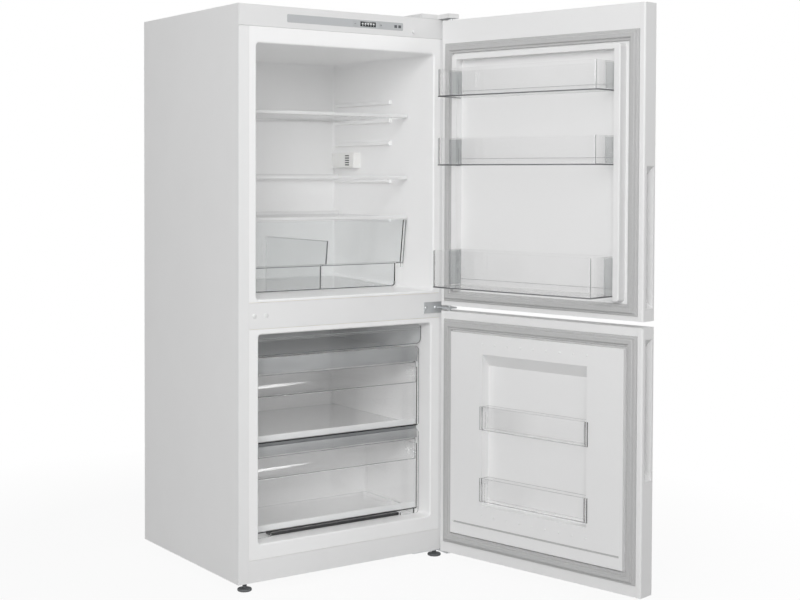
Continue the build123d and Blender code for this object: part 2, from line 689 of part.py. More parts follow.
def evaporator(up):
    z = FREEZER_FLOOR + up
    y0, y1 = FRONT + EVAP_FRONT, FREEZER_BACK - EVAP_BACK_GAP
    half = FREEZER_HALF_W - FIT
    plate = block(-half, half, y0, y1 - BACK_CORNER_R, z, z + EVAP_T)
    plate += block(-half, half, y0, y0 + SHEET, z + EVAP_T - EVAP_LIP, z + EVAP_T)
    pitch = (y1 - y0) / (EVAP_TUBES + 1)
    tube_half = half - 2 * LEDGE_OUT
    for n in range(EVAP_TUBES):
        tube_y, tube_z = y0 + pitch * (n + 1), z - EVAP_TUBE_R + EVAP_SINK
        plate += rod(-tube_half, tube_y, tube_z, EVAP_TUBE_R, 2 * tube_half, TO_RIGHT)
    return plate


nodes["freezer_evaporators"] = Compound([evaporator(LOWER_EVAP_UP), evaporator(UPPER_EVAP_UP)])


# Clear freezer drawers with a finger scoop across the front; the lower one stands on skids

def finger_scoop(y0, rim_z, grow):
    """Scoop in a drawer's front: a quarter ellipse in side view, flat on top under the rim."""
    side_view = Plane((0, y0, rim_z), x_dir=(0, 1, 0), z_dir=(1, 0, 0))
    depth, height = SCOOP_D + grow, SCOOP_H + grow
    quarter = Ellipse(depth, height) & Pos(depth / 2, -height / 2) * Rectangle(depth, height)
    return extrude(side_view * quarter, SCOOP_HALF_W + grow, both=True)


def freezer_drawer(z0, rim_up, front_above, back_y, skid_h):
    rim_z = z0 + rim_up
    y0 = FRONT + DRAWER_FRONT
    half = FREEZER_HALF_W - DRAWER_GAP
    tub_half = half - DRAWER_INSET
    floor_z = z0 + skid_h
    tub_top = rim_z - DRAWER_RIM_DROP
    tub_y0 = y0 + DRAWER_FRONT_T
    drawer = block(-half, half, y0, tub_y0, z0, rim_z + front_above)
    drawer = fillet(drawer.edges().filter_by(Axis.Y).group_by(Axis.Z)[-1], DRAWER_TOP_R)
    drawer = fillet(drawer.edges().filter_by(Axis.Y).group_by(Axis.Z)[0], DRAWER_CORNER_R)
    drawer += block(-tub_half, tub_half, tub_y0, back_y, floor_z, tub_top)
    drawer -= block(
        -tub_half + DRAWER_WALL, tub_half - DRAWER_WALL, tub_y0, back_y - DRAWER_WALL,
        floor_z + DRAWER_WALL, tub_top)
    skid_x = tub_half - DRAWER_CORNER_R
    for x0, x1 in ((-skid_x, -skid_x + SKID_W), (skid_x - SKID_W, skid_x)):
        if skid_h:
            drawer += block(x0, x1, tub_y0, back_y, z0, floor_z)
    scoop_end = SCOOP_HALF_W + DRAWER_WALL
    drawer += finger_scoop(y0, rim_z, DRAWER_WALL)
    drawer += block(
        -scoop_end, scoop_end, y0, y0 + SCOOP_D + DRAWER_WALL, rim_z, rim_z + DRAWER_WALL)
    drawer -= finger_scoop(y0, rim_z, 0)
    scoop_edge = drawer.edges().filter_by(Axis.X).sort_by_distance((0, y0, rim_z - SCOOP_H))[0]
    drawer = fillet(scoop_edge, SCOOP_EDGE_R)
    if skid_h:
        cut = block(-SLOT_HALF_W, SLOT_HALF_W, y0, tub_y0, z0, z0 + SLOT_H)
        drawer -= fillet(cut.edges().filter_by(Axis.Y).group_by(Axis.Z)[-1], SLOT_H / 2)
    return drawer


LOWER_DRAWER_Z0 = FREEZER_FLOOR + DRAWER_CLEAR
UPPER_DRAWER_Z0 = FREEZER_FLOOR + LOWER_EVAP_UP + EVAP_T + DRAWER_CLEAR
nodes["freezer_drawer_lower"] = freezer_drawer(
    LOWER_DRAWER_Z0, LOWER_RIM_UP, LOWER_FRONT_ABOVE_RIM, FREEZER_LOW_BACK - DRAWER_BACK_GAP, SKID_H)
nodes["freezer_drawer_upper"] = freezer_drawer(
    UPPER_DRAWER_Z0, UPPER_RIM_UP, UPPER_FRONT_ABOVE_RIM, FREEZER_BACK - DRAWER_BACK_GAP, 0)


# Flap over the freezer's top compartment, hung on two pins

flap_half = FREEZER_HALF_W - FIT
flap = block(
    -flap_half, flap_half, FRONT + FLAP_FRONT, FRONT + FLAP_FRONT + FLAP_T,
    FREEZER_FLOOR + FLAP_BOTTOM_UP, FLAP_AXIS_Z + FLAP_ABOVE_AXIS)
flap = fillet(flap.edges().filter_by(Axis.Y), FLAP_ABOVE_AXIS)
flap_pin_l = 2 * (flap_half + FLAP_PIN_L)
flap += rod(-flap_pin_l / 2, FLAP_AXIS_Y, FLAP_AXIS_Z, FLAP_PIN_R, flap_pin_l, TO_RIGHT)
nodes["freezer_flap"] = flap


# Doors, drawn closed and then swung open together

def door_section(grow):
    """Plan outline of a door, shrunk inside its sheet when grow is negative."""
    outline = RectangleRounded(2 * (DOOR_HALF_W + grow), DOOR_T + 2 * grow, DOOR_EDGE_R + grow)
    return Pos(0, (DOOR_IN + DOOR_OUT) / 2) * outline


def door_skin(z0, z1, grip_z0):
    skin = upright(door_section(0) - door_section(-SHEET), z0, z1)
    inner = DOOR_HALF_W - DOOR_LIP
    skin -= block(-inner, inner, DOOR_IN - SHEET - SEAM, DOOR_IN, z0, z1)
    return skin - grip_block(grip_z0)


def grip_block(z0):
    """Space that the moulded grip takes up in the door's free edge."""
    y0 = DOOR_OUT + GRIP_BEHIND_FRONT
    return block(
        -DOOR_HALF_W, -DOOR_HALF_W + GRIP_DEPTH + GRIP_WALL, y0 - GRIP_WALL, y0 + GRIP_W + GRIP_WALL,
        z0 - GRIP_WALL, z0 + GRIP_LENGTH + GRIP_WALL)


def grip_insert(z0):
    """Moulded grip: a scoop that deepens towards the door's front, with sloping ends."""
    z1 = z0 + GRIP_LENGTH
    y0 = DOOR_OUT + GRIP_BEHIND_FRONT
    x0, x1 = -DOOR_HALF_W, -DOOR_HALF_W + GRIP_DEPTH
    wedge = upright(make_face(Polyline((x0, y0), (x1, y0), (x0, y0 + GRIP_W), close=True)), z0, z1)
    ends = make_face(Polyline(
        (x0, y0, z0), (x1, y0, z0 + GRIP_END_SLOPE), (x1, y0, z1 - GRIP_END_SLOPE), (x0, y0, z1),
        close=True))
    return grip_block(z0) - (wedge & extrude(ends, GRIP_W, dir=(0, 1, 0)))


def door_core(z0, z1):
    core = upright(door_section(-SHEET), z0, z1)
    return core - block(-DOOR_HALF_W, DOOR_HALF_W, DOOR_IN - DOOR_LINER_T, DOOR_IN, z0, z1)


def door_caps(z0, z1):
    bore_r, bore_l = PIN_R + PIN_CLEAR, PIN_LENGTH + BORE_SPARE
    low = door_core(z0, z0 + DOOR_CAP_H) - rod(HINGE_X, HINGE_Y, z0, bore_r, bore_l)
    high = door_core(z1 - DOOR_CAP_H, z1) - rod(HINGE_X, HINGE_Y, z1 - bore_l, bore_r, bore_l)
    return [low, high]


def door_flange(z0, z1):
    half = DOOR_HALF_W - DOOR_LIP - SEAM
    return block(-half, half, DOOR_IN - DOOR_LINER_T, DOOR_IN, z0 + SEAM, z1 - SEAM)


def door_gasket(z0, z1):
    outline = RectangleRounded(2 * GASKET_OUT, z1 - z0, GASKET_CORNER_R)
    outline -= Rectangle(2 * (GASKET_OUT - GASKET_W), z1 - z0 - 2 * GASKET_W)
    frame = extrude(outline, DOOR_GAP - GASKET_CLEAR)
    return Pos(0, DOOR_IN, (z0 + z1) / 2) * Rot(*TO_BACK) * frame


def opened(shape):
    return shape.rotate(HINGE_AXIS, DOOR_OPEN_DEG)


UPPER_GRIP_Z = UPPER_DOOR_Z0 + GRIP_FROM_SPLIT
LOWER_GRIP_Z = LOWER_DOOR_Z1 - GRIP_FROM_SPLIT - GRIP_LENGTH
UPPER_GASKET_Z0 = UPPER_DOOR_Z0 + UPPER_GASKET_ABOVE_BOTTOM
UPPER_GASKET_Z1 = UPPER_DOOR_Z1 - UPPER_GASKET_BELOW_TOP
LOWER_GASKET_Z0 = LOWER_DOOR_Z0 + LOWER_GASKET_ABOVE_BOTTOM
LOWER_GASKET_Z1 = LOWER_DOOR_Z1 - LOWER_GASKET_BELOW_TOP

fridge_door = {
    "skin": door_skin(UPPER_DOOR_Z0, UPPER_DOOR_Z1, UPPER_GRIP_Z),
    "trim": Compound([*door_caps(UPPER_DOOR_Z0, UPPER_DOOR_Z1), grip_insert(UPPER_GRIP_Z)]),
    "foam": door_core(UPPER_DOOR_Z0 + DOOR_CAP_H, UPPER_DOOR_Z1 - DOOR_CAP_H) - grip_block(UPPER_GRIP_Z),
    "gasket": door_gasket(UPPER_GASKET_Z0, UPPER_GASKET_Z1),
}
freezer_door = {
    "skin": door_skin(LOWER_DOOR_Z0, LOWER_DOOR_Z1, LOWER_GRIP_Z),
    "trim": Compound([*door_caps(LOWER_DOOR_Z0, LOWER_DOOR_Z1), grip_insert(LOWER_GRIP_Z)]),
    "foam": door_core(LOWER_DOOR_Z0 + DOOR_CAP_H, LOWER_DOOR_Z1 - DOOR_CAP_H) - grip_block(LOWER_GRIP_Z),
    "gasket": door_gasket(LOWER_GASKET_Z0, LOWER_GASKET_Z1),
}


# Fridge door's inner panel: raised ridges round a flat field, with lugs for the bins

RIDGE_IN = RIDGE_OUT - RIDGE_W
RIDGE_Z0 = UPPER_GASKET_Z0 + GASKET_W + RIDGE_GASKET_GAP
RIDGE_Z1 = UPPER_GASKET_Z1 - GASKET_W - RIDGE_GASKET_GAP
FRIDGE_BINS = {
    "door_bin_top": (UPPER_DOOR_Z0 + TOP_BIN_UP, BIN_H, BIN_DEPTH),
    "door_bin_middle": (UPPER_DOOR_Z0 + MIDDLE_BIN_UP, BIN_H, BIN_DEPTH),
    "door_bin_bottom": (UPPER_DOOR_Z0 + BOTTOM_BIN_UP, BOTTLE_BIN_H, BOTTLE_BIN_DEPTH),
}


def lug_boxes(wall_x, y_in, z0, spare):
    """Lugs on both walls that a bin hangs on, grown by spare for the slots that clear them."""
    y0, y1 = y_in - spare, y_in + LUG_W + spare
    low = z0 if spare else z0 + LUG_UP
    high = z0 + LUG_UP + LUG_H + spare
    return [block(side * (wall_x - LUG_OUT - spare), side * wall_x, y0, y1, low, high) for side in (-1, 1)]


ridge_plane = Plane((0, DOOR_IN, (RIDGE_Z0 + RIDGE_Z1) / 2), x_dir=(1, 0, 0), z_dir=(0, 1, 0))
ridge_outline = RectangleRounded(2 * RIDGE_OUT, RIDGE_Z1 - RIDGE_Z0, RIDGE_CORNER_R)
ridges = extrude(ridge_plane * ridge_outline, RIDGE_H, taper=RIDGE_TAPER)
ridges = fillet(ridges.faces().sort_by(Axis.Y)[-1].edges(), RIDGE_EDGE_R)
ridges -= block(-RIDGE_IN, RIDGE_IN, DOOR_IN, DOOR_IN + RIDGE_H, RIDGE_Z0, RIDGE_Z1 - RIDGE_TOP_W)
fridge_door["liner"] = door_flange(UPPER_DOOR_Z0, UPPER_DOOR_Z1) + ridges
for z, height, depth in FRIDGE_BINS.values():
    for lug in lug_boxes(RIDGE_IN, DOOR_IN + LUG_IN, z, 0):
        fridge_door["liner"] += lug


def door_bin(z0, height, depth):
    """Clear bin with a floor, rounded at its two front corners in plan."""
    half = RIDGE_IN - BIN_GAP
    y0, y1 = DOOR_IN + BIN_GAP, DOOR_IN + depth
    shell = block(-half, half, y0, y1, z0, z0 + height)
    shell = fillet(shell.edges().filter_by(Axis.Z).group_by(Axis.Y)[-1], BIN_CORNER_R)
    space = block(
        -half + BIN_WALL, half - BIN_WALL, y0 + BIN_WALL, y1 - BIN_WALL, z0 + BIN_WALL, z0 + height)
    shell -= fillet(space.edges().filter_by(Axis.Z).group_by(Axis.Y)[-1], BIN_CORNER_R - BIN_WALL)
    for slot in lug_boxes(RIDGE_IN, DOOR_IN + LUG_IN, z0, LUG_CLEAR):
        shell -= slot
    return shell


for name, (z, height, depth) in FRIDGE_BINS.items():
    nodes[name] = opened(door_bin(z, height, depth))


# Freezer door's inner panel: a broad plateau with a recess for two shallow bins

PLATEAU_Z0 = LOWER_GASKET_Z0 + GASKET_W + PLATEAU_GASKET_GAP
PLATEAU_Z1 = LOWER_GASKET_Z1 - GASKET_W - PLATEAU_GASKET_GAP
PLATEAU_Y = DOOR_IN + PLATEAU_H
RECESS_Y = DOOR_IN - RECESS_DEPTH
RECESS_Z0 = LOWER_DOOR_Z0 + RECESS_BOTTOM_UP
RECESS_Z1 = LOWER_DOOR_Z0 + RECESS_TOP_UP
FREEZER_BINS = {
    "freezer_bin_upper": LOWER_DOOR_Z0 + UPPER_FREEZER_BIN_UP,
    "freezer_bin_lower": LOWER_DOOR_Z0 + LOWER_FREEZER_BIN_UP,
}
plateau_plane = Plane((0, DOOR_IN, (PLATEAU_Z0 + PLATEAU_Z1) / 2), x_dir=(1, 0, 0), z_dir=(0, 1, 0))
plateau = extrude(
    plateau_plane * Rectangle(2 * PLATEAU_HALF_W, PLATEAU_Z1 - PLATEAU_Z0), PLATEAU_H, taper=PLATEAU_TAPER)
recess_back = block(
    -RECESS_HALF_W - DOOR_LINER_T, RECESS_HALF_W + DOOR_LINER_T, RECESS_Y - DOOR_LINER_T, DOOR_IN,
    RECESS_Z0 - DOOR_LINER_T, RECESS_Z1 + DOOR_LINER_T)
freezer_panel = door_flange(LOWER_DOOR_Z0, LOWER_DOOR_Z1) + plateau + recess_back
freezer_panel -= across(
    [(PLATEAU_Y, RECESS_Z0), (RECESS_Y, RECESS_Z0), (RECESS_Y, RECESS_Z1 - RECESS_TOP_SLOPE),
     (PLATEAU_Y, RECESS_Z1)], RECESS_HALF_W)
groove_z = LOWER_DOOR_Z0 + GROOVE_UP
groove_half = PLATEAU_HALF_W - PLATEAU_H - GROOVE_END
freezer_panel -= block(
    -groove_half, groove_half, PLATEAU_Y - GROOVE_DEPTH, PLATEAU_Y,
    groove_z - GROOVE_W / 2, groove_z + GROOVE_W / 2)
for z in (RECESS_Z0 - PIMPLE_ROWS_OUT, RECESS_Z1 + PIMPLE_ROWS_OUT):
    for n in range(PIMPLES):
        x = RECESS_HALF_W * (2 * n / (PIMPLES - 1) - 1)
        freezer_panel += Pos(x, PLATEAU_Y, z) * Rot(*TO_BACK) * Cone(
            PIMPLE_R, PIMPLE_R / 2, PIMPLE_H, align=(Align.CENTER, Align.CENTER, Align.MIN))
for z in FREEZER_BINS.values():
    for lug in lug_boxes(RECESS_HALF_W, RECESS_Y + LUG_IN, z, 0):
        freezer_panel += lug
freezer_door["liner"] = freezer_panel
freezer_door["foam"] -= recess_back


def freezer_bin(z0):
    """Shallow clear bin in the recess, its front panel overlapping the plateau at both ends."""
    half = RECESS_HALF_W - BIN_GAP
    y0, y1 = RECESS_Y + BIN_GAP, PLATEAU_Y + FIT
    z1 = z0 + FREEZER_BIN_H
    shell = block(-half, half, y0, y1, z0, z1)
    shell += block(-half - FREEZER_BIN_EAR, half + FREEZER_BIN_EAR, y1, y1 + FREEZER_BIN_WALL, z0, z1)
    shell -= block(
        -half + FREEZER_BIN_WALL, half - FREEZER_BIN_WALL, y0 + FREEZER_BIN_WALL, y1,
        z0 + FREEZER_BIN_WALL, z1)
    for slot in lug_boxes(RECESS_HALF_W, RECESS_Y + LUG_IN, z0, LUG_CLEAR):
        shell -= slot
    return shell


for name, z in FREEZER_BINS.items():
    nodes[name] = opened(freezer_bin(z))
for piece, shape in fridge_door.items():
    nodes["fridge_door_" + piece] = opened(shape)
for piece, shape in freezer_door.items():
    nodes["freezer_door_" + piece] = opened(shape)


# Hinges: steel plates with the pins that the doors turn on, their cover and screws

ARM_X0, ARM_X1 = HINGE_X - ARM_HALF_W, HINGE_X + ARM_HALF_W
ARM_Y = HINGE_Y - ARM_NOSE
TOP_PLATE_X0 = ARM_X1 - TOP_PLATE_W
TOP_PLATE_Y0 = FRONT + FASCIA_D + SEAM
TOP_PLATE_Y1 = TOP_PLATE_Y0 + TOP_PLATE_D
top_hinge = block(TOP_PLATE_X0, ARM_X1, TOP_PLATE_Y0, TOP_PLATE_Y1, TOP, TOP + PLATE_T)
top_hinge += block(ARM_X0, ARM_X1, ARM_Y, TOP_PLATE_Y0, TOP, TOP + PLATE_T)
top_pin_z = UPPER_DOOR_Z1 - PIN_LENGTH
top_hinge += rod(HINGE_X, HINGE_Y, top_pin_z, PIN_R, TOP + PLATE_T - top_pin_z)
screws = []
for n in (-0.5, 0.5):
    x = TOP_PLATE_X0 + TOP_PLATE_W / 2 + SCREW_PITCH * n
    y = TOP_PLATE_Y0 + TOP_PLATE_D / 2
    shank = rod(x, y, TOP + PLATE_T - SCREW_L, SCREW_R, SCREW_L)
    top_hinge -= shank
    nodes["top_panel"] -= shank
    screws.append(shank + rod(x, y, TOP + PLATE_T, SCREW_HEAD_R, SCREW_HEAD_H))
nodes["top_hinge"] = top_hinge

COVER_SIDE = COVER_WALL + COVER_CLEAR
cover_box = (TOP_PLATE_X0 - COVER_SIDE, ARM_X1 + COVER_CLEAR, ARM_Y - COVER_SIDE, TOP_PLATE_Y1 + COVER_SIDE)
cover = block(*cover_box, TOP, TOP + COVER_H)
cover = fillet(cover.edges().filter_by(Axis.Z) + cover.faces().sort_by(Axis.Z)[-1].edges(), COVER_WALL)
cover -= block(
    TOP_PLATE_X0 - COVER_CLEAR, ARM_X1, ARM_Y - COVER_CLEAR, TOP_PLATE_Y1 + COVER_CLEAR,
    TOP, TOP + COVER_H - COVER_WALL)
cover -= block(
    cover_box[0], ARM_X0 - COVER_SIDE, cover_box[2], FRONT, TOP, TOP + COVER_H)
cover += block(
    ARM_X0 - COVER_SIDE, ARM_X0 - COVER_CLEAR, ARM_Y, FRONT, TOP, TOP + COVER_H - COVER_WALL)
cover += block(
    TOP_PLATE_X0, ARM_X0 - COVER_CLEAR, FRONT, FRONT + COVER_WALL, TOP, TOP + COVER_H - COVER_WALL)
nodes["top_hinge_cover"] = cover

MIDDLE_PLATE_X1 = MIDDLE_SCREWS_X[0] + MIDDLE_PLATE_W - SCREW_PITCH - SCREW_HEAD_R
MIDDLE_PLATE_X0 = MIDDLE_PLATE_X1 - MIDDLE_PLATE_W
MIDDLE_PLATE_Y = FRONT - MIDDLE_PLATE_T
middle_hinge = block(
    MIDDLE_PLATE_X0, MIDDLE_PLATE_X1, MIDDLE_PLATE_Y, FRONT,
    SPLIT_Z - MIDDLE_PLATE_H / 2, SPLIT_Z + MIDDLE_PLATE_H / 2)
middle_hinge += block(
    ARM_X0, ARM_X1, ARM_Y, MIDDLE_PLATE_Y, SPLIT_Z - MIDDLE_ARM_T / 2, SPLIT_Z + MIDDLE_ARM_T / 2)
middle_pin_l = DOOR_SPLIT + 2 * PIN_LENGTH
middle_hinge += rod(HINGE_X, HINGE_Y, SPLIT_Z - middle_pin_l / 2, PIN_R, middle_pin_l)
for x in MIDDLE_SCREWS_X:
    shank = rod(x, MIDDLE_PLATE_Y, SPLIT_Z, SCREW_R, MIDDLE_PLATE_T + RAIL_T, TO_BACK)
    middle_hinge -= shank
    screws.append(shank + rod(x, MIDDLE_PLATE_Y, SPLIT_Z, SCREW_HEAD_R, SCREW_HEAD_H, TO_FRONT))
nodes["middle_hinge"] = middle_hinge

BOTTOM_PLATE_X0 = ARM_X1 - BOTTOM_PLATE_W
BOTTOM_PLATE_Y1 = FRONT + BOTTOM_PLATE_D
BOTTOM_PLATE_Z = BOTTOM - PLATE_T
bottom_hinge = block(BOTTOM_PLATE_X0, ARM_X1, FRONT + RAIL_T, BOTTOM_PLATE_Y1, BOTTOM_PLATE_Z, BOTTOM)
bottom_hinge += block(ARM_X0, ARM_X1, ARM_Y, FRONT + RAIL_T, BOTTOM_PLATE_Z, BOTTOM)
bottom_hinge += rod(HINGE_X, HINGE_Y, BOTTOM_PLATE_Z, PIN_R, LOWER_DOOR_Z0 + PIN_LENGTH - BOTTOM_PLATE_Z)
bottom_hinge -= rod(FOOT_X, FRONT + FOOT_Y, BOTTOM_PLATE_Z, FOOT_STEM_R + FOOT_CLEAR, PLATE_T)
for n in (0, 1):
    x = BOTTOM_PLATE_X0 + SCREW_PITCH / 2 + SCREW_PITCH * n
    y = FRONT + RAIL_T + BOTTOM_PLATE_D / 2
    shank = rod(x, y, BOTTOM_PLATE_Z, SCREW_R, PLATE_T + PAN_T)
    bottom_hinge -= shank
    nodes["base_pan"] -= shank
    screws.append(shank + rod(x, y, BOTTOM_PLATE_Z - SCREW_HEAD_H, SCREW_HEAD_R, SCREW_HEAD_H))
nodes["bottom_hinge"] = bottom_hinge
nodes["hinge_screws"] = Compound(screws)


# Levelling feet in front, rollers at the back

for name, x in (("levelling_foot_left", -FOOT_X), ("levelling_foot_right", FOOT_X)):
    disc = rod(x, FRONT + FOOT_Y, 0, FOOT_R, FOOT_DISC_H)
    disc = fillet(disc.edges().sort_by(Axis.Z)[-1], FOOT_DISC_H / 3)
    stem_l = BOTTOM + FOOT_STEM_UP - FOOT_DISC_H
    nodes[name] = disc + rod(x, FRONT + FOOT_Y, FOOT_DISC_H, FOOT_STEM_R, stem_l)
for name, x in (("rear_roller_left", -ROLLER_X), ("rear_roller_right", ROLLER_X)):
    roller = rod(x - ROLLER_W / 2, ROLLER_Y, ROLLER_R, ROLLER_R, ROLLER_W, TO_RIGHT)
    bore = rod(x - ROLLER_W / 2, ROLLER_Y, ROLLER_R, AXLE_R + AXLE_CLEAR, ROLLER_W, TO_RIGHT)
    nodes[name] = roller - bore


# Compressor on rubber mounts, with its relay box, cord gland and drip tray

at_compressor = Pos(COMPRESSOR_X, COMPRESSOR_Y, 0)
pot = extrude(Ellipse(COMPRESSOR_A, COMPRESSOR_B), COMPRESSOR_H)
pot = fillet(pot.edges().sort_by(Axis.Z)[-1], COMPRESSOR_TOP_R)
pot = fillet(pot.edges().sort_by(Axis.Z)[0], COMPRESSOR_FOOT_R)
pot += Pos(0, 0, WELD_UP) * extrude(Ellipse(COMPRESSOR_A + WELD_OUT, COMPRESSOR_B + WELD_OUT), WELD_H)
pot += Pos(0, 0, BASE_PLATE_T / 2) * Box(BASE_PLATE_W, BASE_PLATE_D, BASE_PLATE_T)
pot += rod(COMPRESSOR_A / 2, 0, WELD_UP, STUB_R, COMPRESSOR_B + STUB_L, TO_BACK)
pot += rod(-COMPRESSOR_A / 2, 0, WELD_UP / 2, STUB_R, COMPRESSOR_B + STUB_L, TO_BACK)
nodes["compressor"] = at_compressor * Pos(0, 0, BASE_PLATE_Z) * pot

mounts = []
for x in (-MOUNT_X, MOUNT_X):
    for y in (-MOUNT_Y, MOUNT_Y):
        mounts.append(at_compressor * rod(x, y, BOTTOM + PAN_T, MOUNT_R, MOUNT_H))
nodes["compressor_mounts"] = Compound(mounts)

RELAY_X1 = COMPRESSOR_X - COMPRESSOR_A - WELD_OUT
RELAY_Z0 = BASE_PLATE_Z + RELAY_UP
relay = block(
    RELAY_X1 - RELAY_W, RELAY_X1, COMPRESSOR_Y - RELAY_D / 2, COMPRESSOR_Y + RELAY_D / 2,
    RELAY_Z0, RELAY_Z0 + RELAY_H)
relay = fillet(relay.edges().filter_by(Axis.X), LAMP_EDGE_R)
gland_x, gland_z = RELAY_X1 - RELAY_W / 2, RELAY_Z0 + RELAY_H / 3
gland_y1 = COMPRESSOR_Y + RELAY_D / 2
gland_y0 = gland_y1 - GLAND_L
gland = rod(gland_x, gland_y0, gland_z, GLAND_R, GLAND_L, TO_BACK)
relay -= gland
gland += rod(gland_x, gland_y1, gland_z, GLAND_FLANGE_R, GLAND_FLANGE_T, TO_BACK)
gland -= rod(gland_x, gland_y0, gland_z, GLAND_BORE_R, GLAND_L + GLAND_FLANGE_T, TO_BACK)
nodes["relay_box"] = relay
nodes["cord_gland"] = gland

tray_x, tray_y = TRAY_W / 2, TRAY_D / 2
tray = block(-tray_x, tray_x, -tray_y, tray_y, COMPRESSOR_TOP, COMPRESSOR_TOP + TRAY_H)
tray -= block(
    -tray_x + TRAY_WALL, tray_x - TRAY_WALL, -tray_y + TRAY_WALL, tray_y - TRAY_WALL,
    COMPRESSOR_TOP + TRAY_WALL, COMPRESSOR_TOP + TRAY_H)
nodes["drip_tray"] = at_compressor * tray


# Condenser: one serpentine tube on three straps, held off the back panel

COIL_Y = BACK + COIL_OUT
COIL_Z = NICHE_TOP + COIL_UP
coil_points = []
for run in range(COIL_RUNS):
    z = COIL_Z + run * COIL_PITCH
    ends = (-COIL_HALF_W, COIL_HALF_W) if run % 2 == 0 else (COIL_HALF_W, -COIL_HALF_W)
    coil_points += [(ends[0], COIL_Y, z), (ends[1], COIL_Y, z)]
coil_path = FilletPolyline(*coil_points, radius=COIL_PITCH / 2 * 0.9)
coil_start = Plane(coil_path @ 0, z_dir=coil_path % 0)
condenser = sweep(coil_start * Circle(COIL_TUBE_R), coil_path)
strap_y1 = COIL_Y - COIL_TUBE_R + STRAP_SINK
strap_z1 = COIL_Z + (COIL_RUNS - 1) * COIL_PITCH
for x in STRAP_X:
    condenser += block(
        x - STRAP_W / 2, x + STRAP_W / 2, strap_y1 - STRAP_T, strap_y1,
        COIL_Z - STRAP_W, strap_z1 + STRAP_W)
    if x:
        for z in (COIL_Z + COIL_PITCH / 2, strap_z1 - COIL_PITCH / 2):
            condenser += rod(x, BACK - SHEET, z, STANDOFF_R, strap_y1 - STRAP_T / 2 - BACK + SHEET, TO_BACK)
nodes["condenser"] = condenser


os.makedirs("parts", exist_ok=True)
for name, shape in nodes.items():
    export_step(shape, f"parts/{name}.step")
print(f"{len(nodes)} nodes, {CAB_W:.0f} x {CAB_D:.0f} x {TOP:.0f} mm cabinet")
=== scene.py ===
import json
import math

import bmesh
import bpy
from mathutils import Matrix, Vector


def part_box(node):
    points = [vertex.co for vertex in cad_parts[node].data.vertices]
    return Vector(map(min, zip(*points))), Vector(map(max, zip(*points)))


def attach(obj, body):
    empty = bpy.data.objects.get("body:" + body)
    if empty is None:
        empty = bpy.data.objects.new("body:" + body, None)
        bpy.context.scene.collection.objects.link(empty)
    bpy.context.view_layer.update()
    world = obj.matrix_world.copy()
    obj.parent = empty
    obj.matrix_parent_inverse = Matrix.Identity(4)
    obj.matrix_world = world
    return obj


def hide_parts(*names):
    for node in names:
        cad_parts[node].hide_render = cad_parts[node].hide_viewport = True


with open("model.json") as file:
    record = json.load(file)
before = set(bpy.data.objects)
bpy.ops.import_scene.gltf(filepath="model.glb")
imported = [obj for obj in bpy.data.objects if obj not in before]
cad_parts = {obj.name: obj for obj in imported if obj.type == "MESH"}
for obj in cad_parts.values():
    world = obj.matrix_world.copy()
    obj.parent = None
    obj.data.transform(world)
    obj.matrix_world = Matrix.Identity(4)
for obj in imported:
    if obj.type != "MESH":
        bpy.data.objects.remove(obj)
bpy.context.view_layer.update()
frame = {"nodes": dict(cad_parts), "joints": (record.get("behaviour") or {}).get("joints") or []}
scene = bpy.context.scene
scene.view_settings.view_transform = "Standard"
scene.cycles.max_bounces = 24
scene.cycles.diffuse_bounces = 14
scene.cycles.transmission_bounces = 24
scene.cycles.transparent_max_bounces = 32

# Camera: it stands to the left of the open doors, at about chest height, and looks slightly down.
# The frame is 800 x 600; the long lens and the downward shift keep the uprights parallel.
camera_data = bpy.data.cameras.new("camera")
camera_data.sensor_width = 36.0
camera_data.lens = 63.34
camera_data.shift_y = -0.1035
camera_data.clip_end = 50.0
camera = bpy.data.objects.new("camera", camera_data)
camera.location = (-1.844, -3.1054, 0.9659)
YAW, PITCH, ROLL = math.radians(34.982), math.radians(-1.669), math.radians(0.212)
upright = Matrix.Rotation(math.pi / 2 + PITCH, 4, "X") @ Matrix.Rotation(ROLL, 4, "Z")
camera.rotation_euler = (Matrix.Rotation(-YAW, 4, "Z") @ upright).to_euler()
scene.collection.objects.link(camera)
scene.camera = camera


# Studio: a pale paper floor and an even white surround, with broad soft lamps all round and above.
# The floor and the world show as plain white to the eye and in reflections, and keep the shadow.

def linear(hex_colour):
    """sRGB hex to the linear values that shaders take."""
    parts = [int(hex_colour[i:i + 2], 16) / 255 for i in (1, 3, 5)]
    return tuple(c / 12.92 if c <= 0.04045 else ((c + 0.055) / 1.055) ** 2.4 for c in parts) + (1.0,)


def add_node(tree, kind, inputs=None, **settings):
    """Adds one node; an input is a value or another node's output."""
    new = tree.nodes.new(kind)
    for name, value in settings.items():
        setattr(new, name, value)
    for name, value in (inputs or {}).items():
        if isinstance(value, bpy.types.NodeSocket):
            tree.links.new(value, new.inputs[name])
        else:
            new.inputs[name].default_value = value
    return new


def seen_rays(tree):
    """Output that is 1 for the rays that see the studio: straight on, mirrored or through glass."""
    path = add_node(tree, "ShaderNodeLightPath")
    mirrored = add_node(tree, "ShaderNodeMath", {0: path.outputs["Is Camera Ray"], 1: path.outputs["Is Glossy Ray"]},
                        operation="MAXIMUM")
    through = add_node(tree, "ShaderNodeMath", {0: mirrored.outputs[0], 1: path.outputs["Is Transmission Ray"]},
                       operation="MAXIMUM")
    return through.outputs[0]


